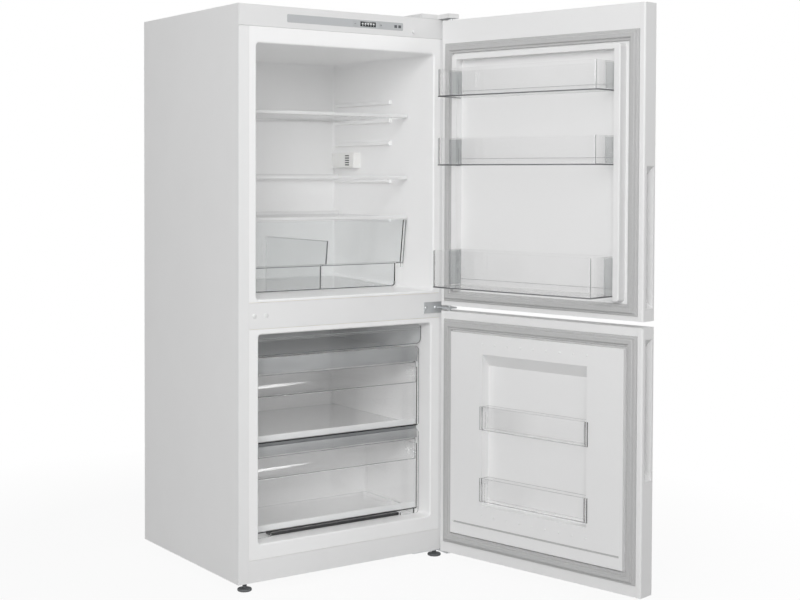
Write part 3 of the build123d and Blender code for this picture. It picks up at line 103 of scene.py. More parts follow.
world = bpy.data.worlds.new("studio_surround")
scene.world = world
world.use_nodes = True
tree = world.node_tree
tree.nodes.clear()
ambient = add_node(tree, "ShaderNodeBackground", {"Color": linear("#ffffff"), "Strength": 0.18})
white = add_node(tree, "ShaderNodeBackground", {"Color": linear("#ffffff"), "Strength": 1.0})
mixed = add_node(tree, "ShaderNodeMixShader", {0: seen_rays(tree), 1: ambient.outputs[0], 2: white.outputs[0]})
add_node(tree, "ShaderNodeOutputWorld", {"Surface": mixed.outputs[0]})

floor_mesh = bpy.data.meshes.new("studio_floor")
FLOOR_HALF = 12.0
corners = [(-FLOOR_HALF, -FLOOR_HALF, 0), (FLOOR_HALF, -FLOOR_HALF, 0), (FLOOR_HALF, FLOOR_HALF, 0),
           (-FLOOR_HALF, FLOOR_HALF, 0)]
floor_mesh.from_pydata(corners, [], [(0, 1, 2, 3)])
floor = bpy.data.objects.new("studio_floor", floor_mesh)
scene.collection.objects.link(floor)
paper = bpy.data.materials.new("white_studio_paper")
paper.use_nodes = True
tree = paper.node_tree
tree.nodes.clear()
# The shadow shows through the white near the object, and is gone at VEIL_END from its middle.
VEIL_START, VEIL_END, NEAR_WHITE = 0.8, 1.5, 0.93
ground = add_node(tree, "ShaderNodeTexCoord")
far = add_node(tree, "ShaderNodeVectorMath", {0: ground.outputs["Object"]}, operation="LENGTH")
veil = add_node(tree, "ShaderNodeMapRange",
                {0: far.outputs["Value"], 1: VEIL_START, 2: VEIL_END, 3: NEAR_WHITE, 4: 1.0})
half_seen = add_node(tree, "ShaderNodeMath", {0: seen_rays(tree), 1: veil.outputs[0]}, operation="MULTIPLY")
matt = add_node(tree, "ShaderNodeBsdfDiffuse", {"Color": linear("#c8c8c8")})
glow = add_node(tree, "ShaderNodeEmission", {"Color": linear("#ffffff"), "Strength": 1.0})
mixed = add_node(tree, "ShaderNodeMixShader", {0: half_seen.outputs[0], 1: matt.outputs[0], 2: glow.outputs[0]})
add_node(tree, "ShaderNodeOutputMaterial", {"Surface": mixed.outputs[0]})
floor_mesh.materials.append(paper)

# Lamps: place, aim, width, height and watts. The three narrow upright heads on the right
# shine back from the hollow fronts of the freezer's drawers.
LAMPS = {
    "front_left_softbox": ((-2.6, -3.4, 2.5), (0.0, 0.0, 0.75), 2.2, 2.2, 88.0),
    "front_softbox": ((-0.4, -3.4, 2.2), (0.0, 0.0, 0.8), 1.8, 1.8, 9.0),
    "left_fill": ((-3.8, -0.6, 1.7), (-0.3, 0.0, 0.8), 2.0, 2.0, 9.0),
    "low_left_fill": ((-3.0, -2.0, 0.8), (0.2, -0.3, 0.35), 1.4, 1.4, 12.0),
    "overhead_softbox": ((-0.3, -0.6, 3.2), (0.0, 0.0, 0.6), 2.4, 2.4, 8.0),
    "right_fill": ((3.8, 0.3, 1.9), (0.3, 0.0, 0.7), 2.2, 2.2, 16.0),
    "back_fill": ((1.2, 3.2, 2.2), (0.0, 0.0, 0.7), 2.4, 2.4, 26.0),
    "right_head_a": ((1.80, -3.22, 2.2), (0.0, -0.2, 0.6), 0.26, 0.75, 4.5),
    "right_head_b": ((2.22, -3.22, 2.2), (0.0, -0.2, 0.6), 0.26, 0.75, 4.5),
    "right_head_c": ((2.60, -3.22, 2.2), (0.0, -0.2, 0.6), 0.26, 0.75, 4.5),
}
for name, (place, aim, width, height, watts) in LAMPS.items():
    lamp_data = bpy.data.lights.new(name, "AREA")
    lamp_data.shape = "RECTANGLE"
    lamp_data.size = width
    lamp_data.size_y = height
    lamp_data.energy = watts
    lamp = bpy.data.objects.new(name, lamp_data)
    lamp.location = place
    lamp.rotation_euler = (Vector(aim) - Vector(place)).to_track_quat("-Z", "Y").to_euler()
    scene.collection.objects.link(lamp)


# Cabinet shell: folded sheet steel sides and front rails, coated white before assembly.
# The sides wrap round the front and back edges; the rails are set between the side flanges.

def finish(name, colour, roughness, ior=1.5, metallic=0.0):
    """New material with its main surface; returns it with its node tree and the shader."""
    material = bpy.data.materials.new(name)
    material.use_nodes = True
    shader = material.node_tree.nodes["Principled BSDF"]
    shader.inputs["Base Color"].default_value = linear(colour)
    shader.inputs["Roughness"].default_value = roughness
    shader.inputs["IOR"].default_value = ior
    shader.inputs["Metallic"].default_value = metallic
    return material, material.node_tree, shader


def vary(tree, shader, socket, size, low, high, detail=2.0, squash=(1.0, 1.0, 1.0)):
    """Lets a colour or a value wander between two limits, in patches of a real size in metres."""
    place = add_node(tree, "ShaderNodeTexCoord")
    squashed = add_node(tree, "ShaderNodeMapping", {"Vector": place.outputs["Object"], "Scale": squash})
    patches = add_node(tree, "ShaderNodeTexNoise",
                       {"Vector": squashed.outputs[0], "Scale": 1 / size, "Detail": detail})
    if socket == "Base Color":
        between = add_node(tree, "ShaderNodeMix", {0: patches.outputs[0], 6: linear(low), 7: linear(high)},
                           data_type="RGBA").outputs[2]
    else:
        between = add_node(tree, "ShaderNodeMapRange", {0: patches.outputs[0], 3: low, 4: high}).outputs[0]
    tree.links.new(between, shader.inputs[socket])


def roughen(tree, shader, size, depth, strength, detail=1.0):
    """Fine relief: patches of a real size that stand up by a real depth, both in metres."""
    place = add_node(tree, "ShaderNodeTexCoord")
    patches = add_node(tree, "ShaderNodeTexNoise",
                       {"Vector": place.outputs["Object"], "Scale": 1 / size, "Detail": detail})
    bump = add_node(tree, "ShaderNodeBump",
                    {"Height": patches.outputs[0], "Strength": strength, "Distance": depth})
    tree.links.new(bump.outputs[0], shader.inputs["Normal"])


def dress(material, *names):
    """Gives solids of the part their material."""
    for name in names:
        for holder in frame["nodes"][name].material_slots:
            holder.material = material


# Powder-coated steel: a white polyester coat, baked, with a faint orange peel of about 2 mm
# and slow changes of shade over a hand's width. It gives a soft, slightly broken reflection.
powder_coat, tree, shader = finish("white_powder_coat", "#f0f0f0", 0.36)
roughen(tree, shader, 0.002, 0.0002, 0.05, detail=2.0)
vary(tree, shader, "Base Color", 0.12, "#eeeeee", "#f2f2f2", detail=3.0)
dress(powder_coat, "side_panels", "centre_rail", "bottom_rail", "fridge_door_skin", "freezer_door_skin")


# Top panel, fascia, hinge cover and trims: injection-moulded ABS, white through and through.
# The mould's fine spark-eroded grain, about half a millimetre, takes the hard shine off it.
abs_white, tree, shader = finish("white_moulded_abs", "#e9e9e9", 0.62, 1.53)
roughen(tree, shader, 0.0006, 0.0001, 0.06)
vary(tree, shader, "Roughness", 0.06, 0.57, 0.68)
dress(abs_white, "top_panel", "control_fascia", "top_hinge_cover", "fridge_door_trim", "freezer_door_trim",
      "upper_shelf_trims", "middle_shelf_trims", "crisper_cover_trims", "door_switch", "drain_tube")


# Liners: vacuum-formed high-impact polystyrene, drawn into the cabinet and the doors in one sheet each.
# Forming leaves a soft gloss with a very slight waviness of a few centimetres.
# The cabinet's sheet is painted a brighter white than the doors', as painted light that lifts its shaded hollows.
LINERS = {"cabinet_polystyrene_painted_light": ("#fbfbfb", ("fridge_liner", "freezer_liner")),
          "white_formed_polystyrene": ("#efefef", ("fridge_door_liner", "freezer_door_liner"))}
for name, (colour, pieces) in LINERS.items():
    polystyrene, tree, shader = finish(name, colour, 0.32, 1.55)
    roughen(tree, shader, 0.035, 0.002, 0.04)
    vary(tree, shader, "Roughness", 0.035, 0.28, 0.38, detail=1.0)
    dress(polystyrene, *pieces)


# Clear pieces: crisper, divider, flap, freezer drawers and door bins, injection-moulded polystyrene.
# Light passes through to what lies behind; the edges gather light and look a little grey.

def clear(name, tint, roughness, ior, shadow):
    """See-through material that lets the lamps' light through to what stands behind it."""
    material, tree, shader = finish(name, tint, roughness, ior)
    shader.inputs["Transmission Weight"].default_value = 1.0
    path = add_node(tree, "ShaderNodeLightPath")
    through = add_node(tree, "ShaderNodeMath", {0: path.outputs["Is Shadow Ray"], 1: path.outputs["Is Diffuse Ray"]},
                       operation="MAXIMUM")
    pass_on = add_node(tree, "ShaderNodeBsdfTransparent", {"Color": linear(shadow)})
    both = add_node(tree, "ShaderNodeMixShader", {0: through.outputs[0], 1: shader.outputs[0], 2: pass_on.outputs[0]})
    tree.links.new(both.outputs[0], tree.nodes["Material Output"].inputs["Surface"])
    return material, tree, shader


# Clear polystyrene: glassy, with a slow waviness of about 30 mm from the mould's flow.
clear_styrene, tree, shader = clear("clear_moulded_polystyrene", "#fbfbfb", 0.05, 1.45, "#ffffff")
roughen(tree, shader, 0.03, 0.001, 0.03)
dress(clear_styrene, "freezer_drawer_upper", "freezer_drawer_lower", "door_bin_top", "door_bin_middle",
      "door_bin_bottom", "freezer_bin_upper", "freezer_bin_lower")

# The crisper and the flap are the same plastic with a smoke tint, so what stands behind looks dimmer.
SMOKE = {"pale_smoke_polystyrene": ("#f8f9f9", "#ffffff", ("crisper_drawer", "crisper_divider")),
         "smoke_tinted_polystyrene": ("#e6e8e9", "#fafafa", ("freezer_flap",))}
for name, (tint, shadow, pieces) in SMOKE.items():
    smoky_styrene, tree, shader = clear(name, tint, 0.06, 1.45, shadow)
    roughen(tree, shader, 0.03, 0.001, 0.03)
    dress(smoky_styrene, *pieces)

# Shelf glass: two shelves and the crisper's cover, 4 mm toughened float glass with ground edges.
# It is very slightly green in its thickness, and its shine is a little uneven over a hand's width.
float_glass, tree, shader = clear("toughened_float_glass", "#fdfffe", 0.0, 1.5, "#ffffff")
vary(tree, shader, "Roughness", 0.08, 0.0, 0.03, detail=0.0)
dress(float_glass, "upper_shelf_glass", "middle_shelf_glass", "crisper_cover_glass")


# Rail plugs: two domed white plugs close the spare hinge holes on the left of the centre rail,
# where the middle hinge goes when the doors are hung on the other side. They snap in.

SHARP_FROM = math.radians(38)


def new_piece(name, verts, faces, material, body, slot, smooth=True):
    """Mesh piece that rides on a body, in the material given; the slot is not used."""
    mesh = bpy.data.meshes.new(name)
    mesh.from_pydata([tuple(v) for v in verts], [], faces)
    mesh.validate()
    shape = bmesh.new()
    shape.from_mesh(mesh)
    bmesh.ops.recalc_face_normals(shape, faces=shape.faces)
    shape.to_mesh(mesh)
    shape.free()
    mesh.materials.append(material)
    for face in mesh.polygons:
        face.use_smooth = smooth
    if smooth:
        mesh.set_sharp_from_angle(angle=SHARP_FROM)
    piece = bpy.data.objects.new(name, mesh)
    scene.collection.objects.link(piece)
    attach(piece, body)
    return piece


def turned(profile, place, axis, segments=32, shape=None):
    """Turned form: (radius, height) points spun round an axis from a place; shape bends a radius by angle."""
    turn = Vector((0, 0, 1)).rotation_difference(Vector(axis)).to_matrix()
    verts, faces = [], []
    for row, (radius, height) in enumerate(profile):
        for n in range(segments):
            angle = 2 * math.pi * n / segments
            r = radius if shape is None else shape(radius, row, angle)
            verts.append(Vector(place) + turn @ Vector((r * math.cos(angle), r * math.sin(angle), height)))
    for row in range(len(profile) - 1):
        for n in range(segments):
            a, b = row * segments + n, row * segments + (n + 1) % segments
            faces.append((a, b, b + segments, a + segments))
    faces.append(tuple(range(segments))[::-1])
    last = (len(profile) - 1) * segments
    faces.append(tuple(range(last, last + segments)))
    return verts, faces


FRONT_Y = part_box("centre_rail")[0][1]
PLUG_Z = 0.641
PLUG_PROFILE = [(0.0030, 0.0), (0.0056, 0.0), (0.0057, 0.0006), (0.0052, 0.0012), (0.0038, 0.0019), (0.0015, 0.0022)]
for name, x in (("rail_plug_outer", -0.258), ("rail_plug_inner", -0.227)):
    verts, faces = turned(PLUG_PROFILE, (x, FRONT_Y, PLUG_Z), (0, -1, 0))
    new_piece(name, verts, faces, abs_white, "cabinet", "white_plastic")


# Control strip: a grey moulded bezel clipped into the fascia, with a dark window and two keys.
# The signs are printed in dark grey; the window is smoked acrylic over five indicator lamps.

# Grey ABS: the same fine grain as the white one, a little glossier.
grey_abs, tree, shader = finish("grey_moulded_abs", "#b9bbbd", 0.38, 1.53)
roughen(tree, shader, 0.0006, 0.0001, 0.06)
vary(tree, shader, "Roughness", 0.04, 0.33, 0.43)
dress(grey_abs, "display_strip", "minus_button", "plus_button")

# Smoked acrylic: nearly black and shiny, with faint smears from wiping.
dark_acrylic, tree, shader = finish("smoked_acrylic", "#2b2d30", 0.12, 1.49)
vary(tree, shader, "Roughness", 0.01, 0.08, 0.2)

# Screen prints: flat ink with a very fine grain, white behind the window and dark grey on the keys.
white_print, tree, shader = finish("white_screen_print", "#e6e8e8", 0.5)
vary(tree, shader, "Roughness", 0.0008, 0.42, 0.58, detail=1.0)
dark_print, tree, shader = finish("dark_grey_screen_print", "#55585b", 0.5)
vary(tree, shader, "Roughness", 0.0008, 0.42, 0.58, detail=1.0)


def soft_block(low, high, radius, steps=3):
    """Vertices and faces of a box with rounded edges."""
    shape = bmesh.new()
    bmesh.ops.create_cube(shape, size=1.0)
    for v in shape.verts:
        v.co = Vector([lo + (hi - lo) * (c + 0.5) for lo, hi, c in zip(low, high, v.co)])
    bmesh.ops.bevel(shape, geom=shape.edges[:], offset=radius, segments=steps, profile=0.5, affect="EDGES")
    shape.verts.index_update()
    verts = [v.co.copy() for v in shape.verts]
    faces = [tuple(v.index for v in f.verts) for f in shape.faces]
    shape.free()
    return verts, faces


def several(parts):
    """One list of vertices and faces out of several."""
    verts, faces = [], []
    for part_verts, part_faces in parts:
        start = len(verts)
        verts += part_verts
        faces += [tuple(start + n for n in face) for face in part_faces]
    return verts, faces


STRIP_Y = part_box("display_strip")[0][1]
STRIP_Z = (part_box("display_strip")[0][2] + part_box("display_strip")[1][2]) / 2
WINDOW_X0, WINDOW_X1, WINDOW_HALF_H = 0.032, 0.077, 0.006
WINDOW_PROUD, WINDOW_SUNK, WINDOW_RADIUS = 0.0005, 0.001, 0.0004
window = soft_block((WINDOW_X0, STRIP_Y - WINDOW_PROUD, STRIP_Z - WINDOW_HALF_H),
                    (WINDOW_X1, STRIP_Y + WINDOW_SUNK, STRIP_Z + WINDOW_HALF_H), WINDOW_RADIUS)
new_piece("indicator_window", *window, dark_acrylic, "cabinet", "dark_plastic")
# Each lamp is a short bar with a dot below it: half width, foot and top from the strip's middle.
LAMP_COUNT, LAMP_X, LAMP_PITCH = 5, 0.0385, 0.008
LAMP_FACE, LAMP_BACK, LAMP_RADIUS = 0.0008, 0.0003, 0.0002
LAMP_BAR, LAMP_DOT = (0.0022, -0.0012, 0.0024), (0.0008, -0.0042, -0.0026)
lamps = []
for n in range(LAMP_COUNT):
    x = LAMP_X + LAMP_PITCH * n
    for half, foot, top in (LAMP_BAR, LAMP_DOT):
        lamps.append(soft_block((x - half, STRIP_Y - LAMP_FACE, STRIP_Z + foot),
                                (x + half, STRIP_Y - LAMP_BACK, STRIP_Z + top), LAMP_RADIUS, 2))
new_piece("indicator_lamps", *several(lamps), white_print, "cabinet", "white_plastic")
SIGN_LONG, SIGN_SHORT, SIGN_PROUD, SIGN_SUNK, SIGN_RADIUS = 0.0024, 0.0005, 0.0002, 0.0003, 0.00015
for body, node, arms in (("minus_key", "minus_button", 1), ("plus_key", "plus_button", 2)):
    low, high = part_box(node)
    x, z, y = (low[0] + high[0]) / 2, (low[2] + high[2]) / 2, low[1]
    bars = []
    for half, half_h in ((SIGN_LONG, SIGN_SHORT), (SIGN_SHORT, SIGN_LONG))[:arms]:
        bars.append(soft_block((x - half, y - SIGN_PROUD, z - half_h), (x + half, y + SIGN_SUNK, z + half_h),
                               SIGN_RADIUS, 2))
    new_piece(node + "_sign", *several(bars), dark_print, body, "dark_plastic")
MARK_COUNT, MARK_X, MARK_PITCH, MARK_W, MARK_HALF_H = 2, 0.132, 0.012, 0.008, 0.0035
marks = []
for n in range(MARK_COUNT):
    x = MARK_X + MARK_PITCH * n
    marks.append(soft_block((x, STRIP_Y - SIGN_PROUD, STRIP_Z - MARK_HALF_H),
                            (x + MARK_W, STRIP_Y + SIGN_SUNK, STRIP_Z + MARK_HALF_H), SIGN_RADIUS, 2))
new_piece("strip_marks", *several(marks), dark_print, "cabinet", "dark_plastic")


# Lamp cover: opal polystyrene box clipped to the right wall, with louvres for the warm air.
# Dark blocks set in each louvre are painted shade, so the openings read as dark lines.

# Opal polystyrene: milky, with a little light spread inside it and a fine frosting.
opal_styrene, tree, shader = finish("opal_polystyrene", "#f6f6f4", 0.35, 1.55)
shader.inputs["Subsurface Weight"].default_value = 0.15
shader.inputs["Subsurface Radius"].default_value = (0.004, 0.004, 0.004)
roughen(tree, shader, 0.001, 0.0002, 0.08)
dress(opal_styrene, "lamp_cover")
# Black ABS: matt, with the mould's grain.
dark_abs, tree, shader = finish("black_moulded_abs", "#2a2a2c", 0.5, 1.53)
roughen(tree, shader, 0.0008, 0.0001, 0.1)
low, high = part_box("lamp_cover")
LOUVRES, LOUVRE_MARGIN, LOUVRE_W, LOUVRE_HALF_H = 5, 0.005, 0.0096, 0.0014
LOUVRE_ROWS, SLOT_FACE, SLOT_BACK, SLOT_RADIUS = (0.0222, 0.0338), 0.0006, 0.0039, 0.0005
pitch = (high[2] - low[2] - 2 * LOUVRE_MARGIN) / LOUVRES
slot_shades = []
for n in range(LOUVRES):
    z = low[2] + LOUVRE_MARGIN + pitch * (n + 0.5)
    for y in [low[1] + row for row in LOUVRE_ROWS]:
        slot_shades.append(soft_block((low[0] + SLOT_FACE, y, z - LOUVRE_HALF_H),
                                (low[0] + SLOT_BACK, y + LOUVRE_W, z + LOUVRE_HALF_H), SLOT_RADIUS, 2))
new_piece("lamp_louvre_shades", *several(slot_shades), dark_abs, "cabinet", "dark_plastic")


# Door gaskets: extruded soft PVC bellows with a magnet strip inside, pressed into the door liners.
# The four lengths are cut at 45 degrees and welded; the lips show as fine lines along each side.

# Soft PVC: grey, dull and slightly blotchy, as rubbery plastic gets.
soft_pvc, tree, shader = finish("grey_soft_pvc", "#c0c0c0", 0.55, 1.5)
vary(tree, shader, "Roughness", 0.004, 0.48, 0.64, detail=3.0)
vary(tree, shader, "Base Color", 0.004, "#bababa", "#c6c6c6", detail=3.0)

door_joint = next(j for j in frame["joints"] if j["name"] == "fridge_door_hinge")
HINGE = Vector((door_joint["pos_m"][0], door_joint["pos_m"][1], 0))
OPEN = Matrix.Rotation(math.radians(-door_joint["range_deg"][0]), 4, "Z")
SWING = Matrix.Translation(HINGE) @ OPEN @ Matrix.Translation(-HINGE)
DOOR_GAP = 0.012
DOOR_IN_Y = FRONT_Y - DOOR_GAP
# The bellows' section in mm: how far in from the gasket's outer edge, and how far off the door.
GASKET_LIPS = [
    (0.0, 0.0), (0.0, 2.2), (0.6, 3.6), (1.8, 4.4), (3.0, 4.5), (4.2, 4.4), (5.2, 5.0), (5.8, 6.4), (6.3, 8.2),
    (7.0, 9.9), (8.0, 11.0), (9.6, 11.6), (11.6, 11.3), (12.6, 11.1), (13.6, 11.3), (15.6, 11.6), (17.4, 11.2),
    (18.4, 10.2), (19.0, 8.8), (19.5, 7.2), (20.2, 6.0), (21.2, 5.5), (22.4, 5.6), (24.2, 5.5), (25.3, 4.4),
    (25.9, 2.6), (26.0, 0.0)]
# Body, foot and top of each gasket.
GASKETS = {"fridge_door_gasket": ("fridge_door", 0.655, 1.296), "freezer_door_gasket": ("freezer_door", 0.049, 0.610)}
GASKET_HALF_W = 0.285
for name, (body, z0, z1) in GASKETS.items():
    verts, faces = [], []
    for across, rise in GASKET_LIPS:
        inset, up = across * 0.001, rise * 0.001
        half = GASKET_HALF_W - inset
        for x, z in ((-half, z0 + inset), (half, z0 + inset), (half, z1 - inset), (-half, z1 - inset)):
            verts.append(SWING @ Vector((x, DOOR_IN_Y + up, z)))
    for row in range(len(GASKET_LIPS) - 1):
        for n in range(4):
            a, b = 4 * row + n, 4 * row + (n + 1) % 4
            faces.append((a, b, b + 4, a + 4))
    last = 4 * (len(GASKET_LIPS) - 1)
    for n in range(4):
        faces.append((n, (n + 1) % 4, last + (n + 1) % 4, last + n))
    gasket = new_piece(name.replace("gasket", "bellows"), verts, faces, soft_pvc, body, "gasket")
    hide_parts(name)


# Moulded edges of the clear bins, drawers, crisper and flap: the polystyrene is thicker along corners and rims.
# Light that runs along inside the sheet is lost there, so these edges are drawn as grey lines of painted shade.

def wires(name, runs, radius, material, body, kind="POLY"):
    """Round wires or pipes along lists of points."""
    curve = bpy.data.curves.new(name, "CURVE")
    curve.dimensions = "3D"
    curve.bevel_depth = radius
    curve.bevel_resolution = 3
    curve.use_fill_caps = True
    for points in runs:
        spline = curve.splines.new(kind)
        spline.points.add(len(points) - 1)
        for point, place in zip(spline.points, points):
            point.co = (*place, 1.0)
        if kind == "NURBS":
            spline.use_endpoint_u = True
            spline.order_u = 3
            spline.resolution_u = 12
    curve.materials.append(material)
    piece = bpy.data.objects.new(name, curve)
    scene.collection.objects.link(piece)
    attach(piece, body)
    return piece


# Painted edge shade: grey, with slow changes from darker to lighter along its run.
edge_shade, tree, shader = finish("painted_edge_shade", "#636567", 0.3, 1.59)
vary(tree, shader, "Base Color", 0.04, "#4c4e50", "#7a7c7e")
# Radii of the edges, and how far inside the piece's corner their middle lies.
EDGE_R, FINE_EDGE_R, EDGE_IN = 0.0010, 0.0006, 0.0006


def swung(points):
    """Points on a closed door, carried to where the open door holds them."""
    return [SWING @ Vector(point) for point in points]


# End pads: thin smoky film bonded inside the bins' ends. It dims what stands behind and bends nothing.
smoky_film, tree, shader = finish("smoky_film", "#a8aaac", 0.3)
sight = add_node(tree, "ShaderNodeBsdfTransparent", {"Color": linear("#f2f3f3")})
place = add_node(tree, "ShaderNodeTexCoord")
cloud = add_node(tree, "ShaderNodeTexNoise", {"Vector": place.outputs["Object"], "Scale": 1 / 0.02, "Detail": 2.0})
amount = add_node(tree, "ShaderNodeMapRange", {0: cloud.outputs[0], 3: 0.86, 4: 0.92})
both = add_node(tree, "ShaderNodeMixShader", {0: amount.outputs[0], 1: shader.outputs[0], 2: sight.outputs[0]})
tree.links.new(both.outputs[0], tree.nodes["Material Output"].inputs["Surface"])

BIN_HALF_W, BIN_BACK, BACK_LIP_UP = 0.2310, 0.0060, 0.0160
PAD_DEPTH, PAD_OUT, PAD_IN, PAD_FOOT, PAD_DOWN, PAD_RADIUS = 0.0450, 0.0026, 0.0032, 0.0030, 0.0020, 0.0002
for node, body, depth in (("door_bin_top", "top_bin", 0.090), ("door_bin_middle", "middle_bin", 0.090),
                          ("door_bin_bottom", "bottom_bin", 0.106)):
    low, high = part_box(node)
    half, z0, z1 = BIN_HALF_W - EDGE_IN, low[2] + EDGE_IN, high[2] - EDGE_IN
    y0, y1 = DOOR_IN_Y + BIN_BACK, DOOR_IN_Y + depth - EDGE_IN
    foot = [(-half, y0, z0), (-half, y1, z0), (half, y1, z0), (half, y0, z0)]
    wires(node + "_foot_edge", [swung(foot)], EDGE_R * 1.5, edge_shade, body)
    ends = [[(x, y1, z0), (x, y1, z1)] for x in (-half, half)]
    wires(node + "_end_edges", [swung(run) for run in ends], FINE_EDGE_R, edge_shade, body)
    inner = half - PAD_IN
    rims = [[(x, y0 + PAD_DEPTH, z1), (x, y0, z1), (x, y0, z0 + PAD_FOOT)] for x in (-inner, inner)]
    rims.append([(x, y0 + EDGE_R, z0 + BACK_LIP_UP) for x in (-inner, inner)])
    wires(node + "_pad_edges", [swung(run) for run in rims], FINE_EDGE_R * 0.6, edge_shade, body)
    pads = []
    for x0, x1 in ((-half + PAD_OUT, -half + PAD_IN), (half - PAD_IN, half - PAD_OUT)):
        pads.append(soft_block((x0, y0, z0 + PAD_FOOT), (x1, y0 + PAD_DEPTH, z1 - PAD_DOWN), PAD_RADIUS, 2))
    verts, faces = several(pads)
    new_piece(node + "_end_pads", swung(verts), faces, smoky_film, body, "smoky_plastic")

FREEZER_BIN_HALF_W, FREEZER_BIN_DEPTH, RIB_IN, RIM_IN = 0.1595, 0.0124, 0.0075, 0.0005
for node, body in (("freezer_bin_upper", "upper_freezer_bin"), ("freezer_bin_lower", "lower_freezer_bin")):
    low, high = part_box(node)
    half, y1 = FREEZER_BIN_HALF_W - EDGE_IN, DOOR_IN_Y + FREEZER_BIN_DEPTH
    z0, z1 = low[2] + RIM_IN, high[2] - RIM_IN
    runs = [[(-half, y1, z1), (-half, y1, z0), (half, y1, z0), (half, y1, z1)]]
    runs += [[(x, y1, z0), (x, y1, z1)] for x in (-half + RIB_IN, half - RIB_IN)]
    wires(node + "_edges", [swung(run) for run in runs], FINE_EDGE_R, edge_shade, body)

# A grey bead lies in the groove along the foot of the freezer door's panel, as painted shade that deepens the
# groove's dark line.
GROOVE_Z, GROOVE_HALF_W = 0.108, 0.2440
BEAD_BACK, BEAD_FACE, BEAD_HALF_H, BEAD_RADIUS = 0.0066, 0.0088, 0.0021, 0.0009
groove_shade = soft_block((-GROOVE_HALF_W, DOOR_IN_Y + BEAD_BACK, GROOVE_Z - BEAD_HALF_H),
                  (GROOVE_HALF_W, DOOR_IN_Y + BEAD_FACE, GROOVE_Z + BEAD_HALF_H), BEAD_RADIUS, 3)
new_piece("panel_groove_shade_bead", swung(groove_shade[0]), groove_shade[1], soft_pvc, "freezer_door", "gasket")

# The drawers' and the crisper's edges stand in the cabinet. A frosted lip runs along each drawer's foot.
frosted_styrene, tree, shader = finish("frosted_polystyrene", "#eceded", 0.55, 1.59)
roughen(tree, shader, 0.001, 0.0002, 0.1)
# Above the rim a grey sheet backs each front as painted shade: it darkens the view through the front to the cold
# plate behind it.
shade_brow, tree, shader = finish("brow_painted_shade", "#b4b6b8", 0.22, 1.59)
shader.inputs["Transmission Weight"].default_value = 0.25
vary(tree, shader, "Base Color", 0.02, "#a0a2a4", "#c4c6c7", squash=(0.15, 1.0, 1.0))
SCOOP_HALF_W, FACE_IN, BACKING_IN, CORNER_FOOT, CORNER_DOWN = 0.232, 0.0004, 0.0034, 0.008, 0.015
BROW_END, BROW_BACK, BROW_UP, BROW_DOWN, BROW_RADIUS = 0.003, 0.0052, 0.0030, 0.0015, 0.0006
LIP_END, LIP_BACK, LIP_H, LIP_RADIUS = 0.008, 0.0090, 0.0150, 0.0027
for node, body, rim_up, lip_up in (("freezer_drawer_upper", "upper_drawer", 0.161, 0.0030),
                                   ("freezer_drawer_lower", "lower_drawer", 0.190, 0.0140)):
    low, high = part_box(node)
    half, y, z0, z1 = high[0] - EDGE_IN, low[1] + FACE_IN, low[2], high[2]
    runs = [[(x, y, z0 + CORNER_FOOT), (x, y, z1 - CORNER_DOWN)] for x in (-half, half)]
    runs.append([(-SCOOP_HALF_W, y, z0 + rim_up), (SCOOP_HALF_W, y, z0 + rim_up)])
    wires(node + "_edges", runs, FINE_EDGE_R, edge_shade, body)
    shade_sheet = soft_block((-half + BROW_END, y + BACKING_IN, z0 + rim_up + BROW_UP),
                      (half - BROW_END, y + BROW_BACK, z1 - BROW_DOWN), BROW_RADIUS, 2)
    new_piece(node + "_painted_shade_brow", *shade_sheet, shade_brow, body, "smoky_plastic")
    lip = soft_block((-half + LIP_END, y + BACKING_IN, z0 + lip_up),
                     (half - LIP_END, y + LIP_BACK, z0 + lip_up + LIP_H), LIP_RADIUS, 4)
    new_piece(node + "_lip", *lip, frosted_styrene, body, "clear_plastic")

# The crisper's front leans back to a step, and below the step it stands further in.
low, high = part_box("crisper_drawer")
CRISPER_HALF_W, STEP_UP, LEAN, STEP_IN, CRISPER_CORNER = 0.2434, 0.062, 0.014, 0.025, 0.013
y, z0, z1 = low[1] + EDGE_IN, low[2], high[2] - EDGE_IN
step_y, step_z = y + LEAN, z0 + STEP_UP + EDGE_IN
low_y = step_y + STEP_IN
WING_X = high[0] - EDGE_IN
front = [[(-WING_X, y, z1), (-WING_X, step_y, step_z), (WING_X, step_y, step_z), (WING_X, y, z1)]]
wires("crisper_step_edge", front, EDGE_R * 1.3, edge_shade, "crisper")
outline = [(CRISPER_HALF_W, step_z), (CRISPER_HALF_W, z0 + CRISPER_CORNER),
           (CRISPER_HALF_W - CRISPER_CORNER, z0 + EDGE_IN)]
foot = [(-x, low_y, z) for x, z in outline] + [(x, low_y, z) for x, z in outline[::-1]]
wires("crisper_foot_edge", [foot], FINE_EDGE_R, frosted_styrene, "crisper")

# The divider follows that front and keeps a little off it.
low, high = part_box("crisper_divider")
BEND_OFF, FRONT_OFF, STEP_OFF, FOOT_OFF = 0.0035, 0.0044, 0.0046, 0.0076
x, z0, z1 = (low[0] + high[0]) / 2, low[2], high[2] - EDGE_IN
top_y, back_y, bend_z = low[1] + EDGE_IN, high[1], step_z + BEND_OFF
wires("divider_front_edge", [[(x, top_y, z1), (x, step_y + FRONT_OFF, bend_z)]], EDGE_R * 1.3, edge_shade,
      "divider")
runs = [[(x, top_y, z1), (x, back_y, z1)], [(x, low_y + STEP_OFF, bend_z), (x, low_y + FOOT_OFF, z0)]]
wires("divider_edges", runs, FINE_EDGE_R, edge_shade, "divider")

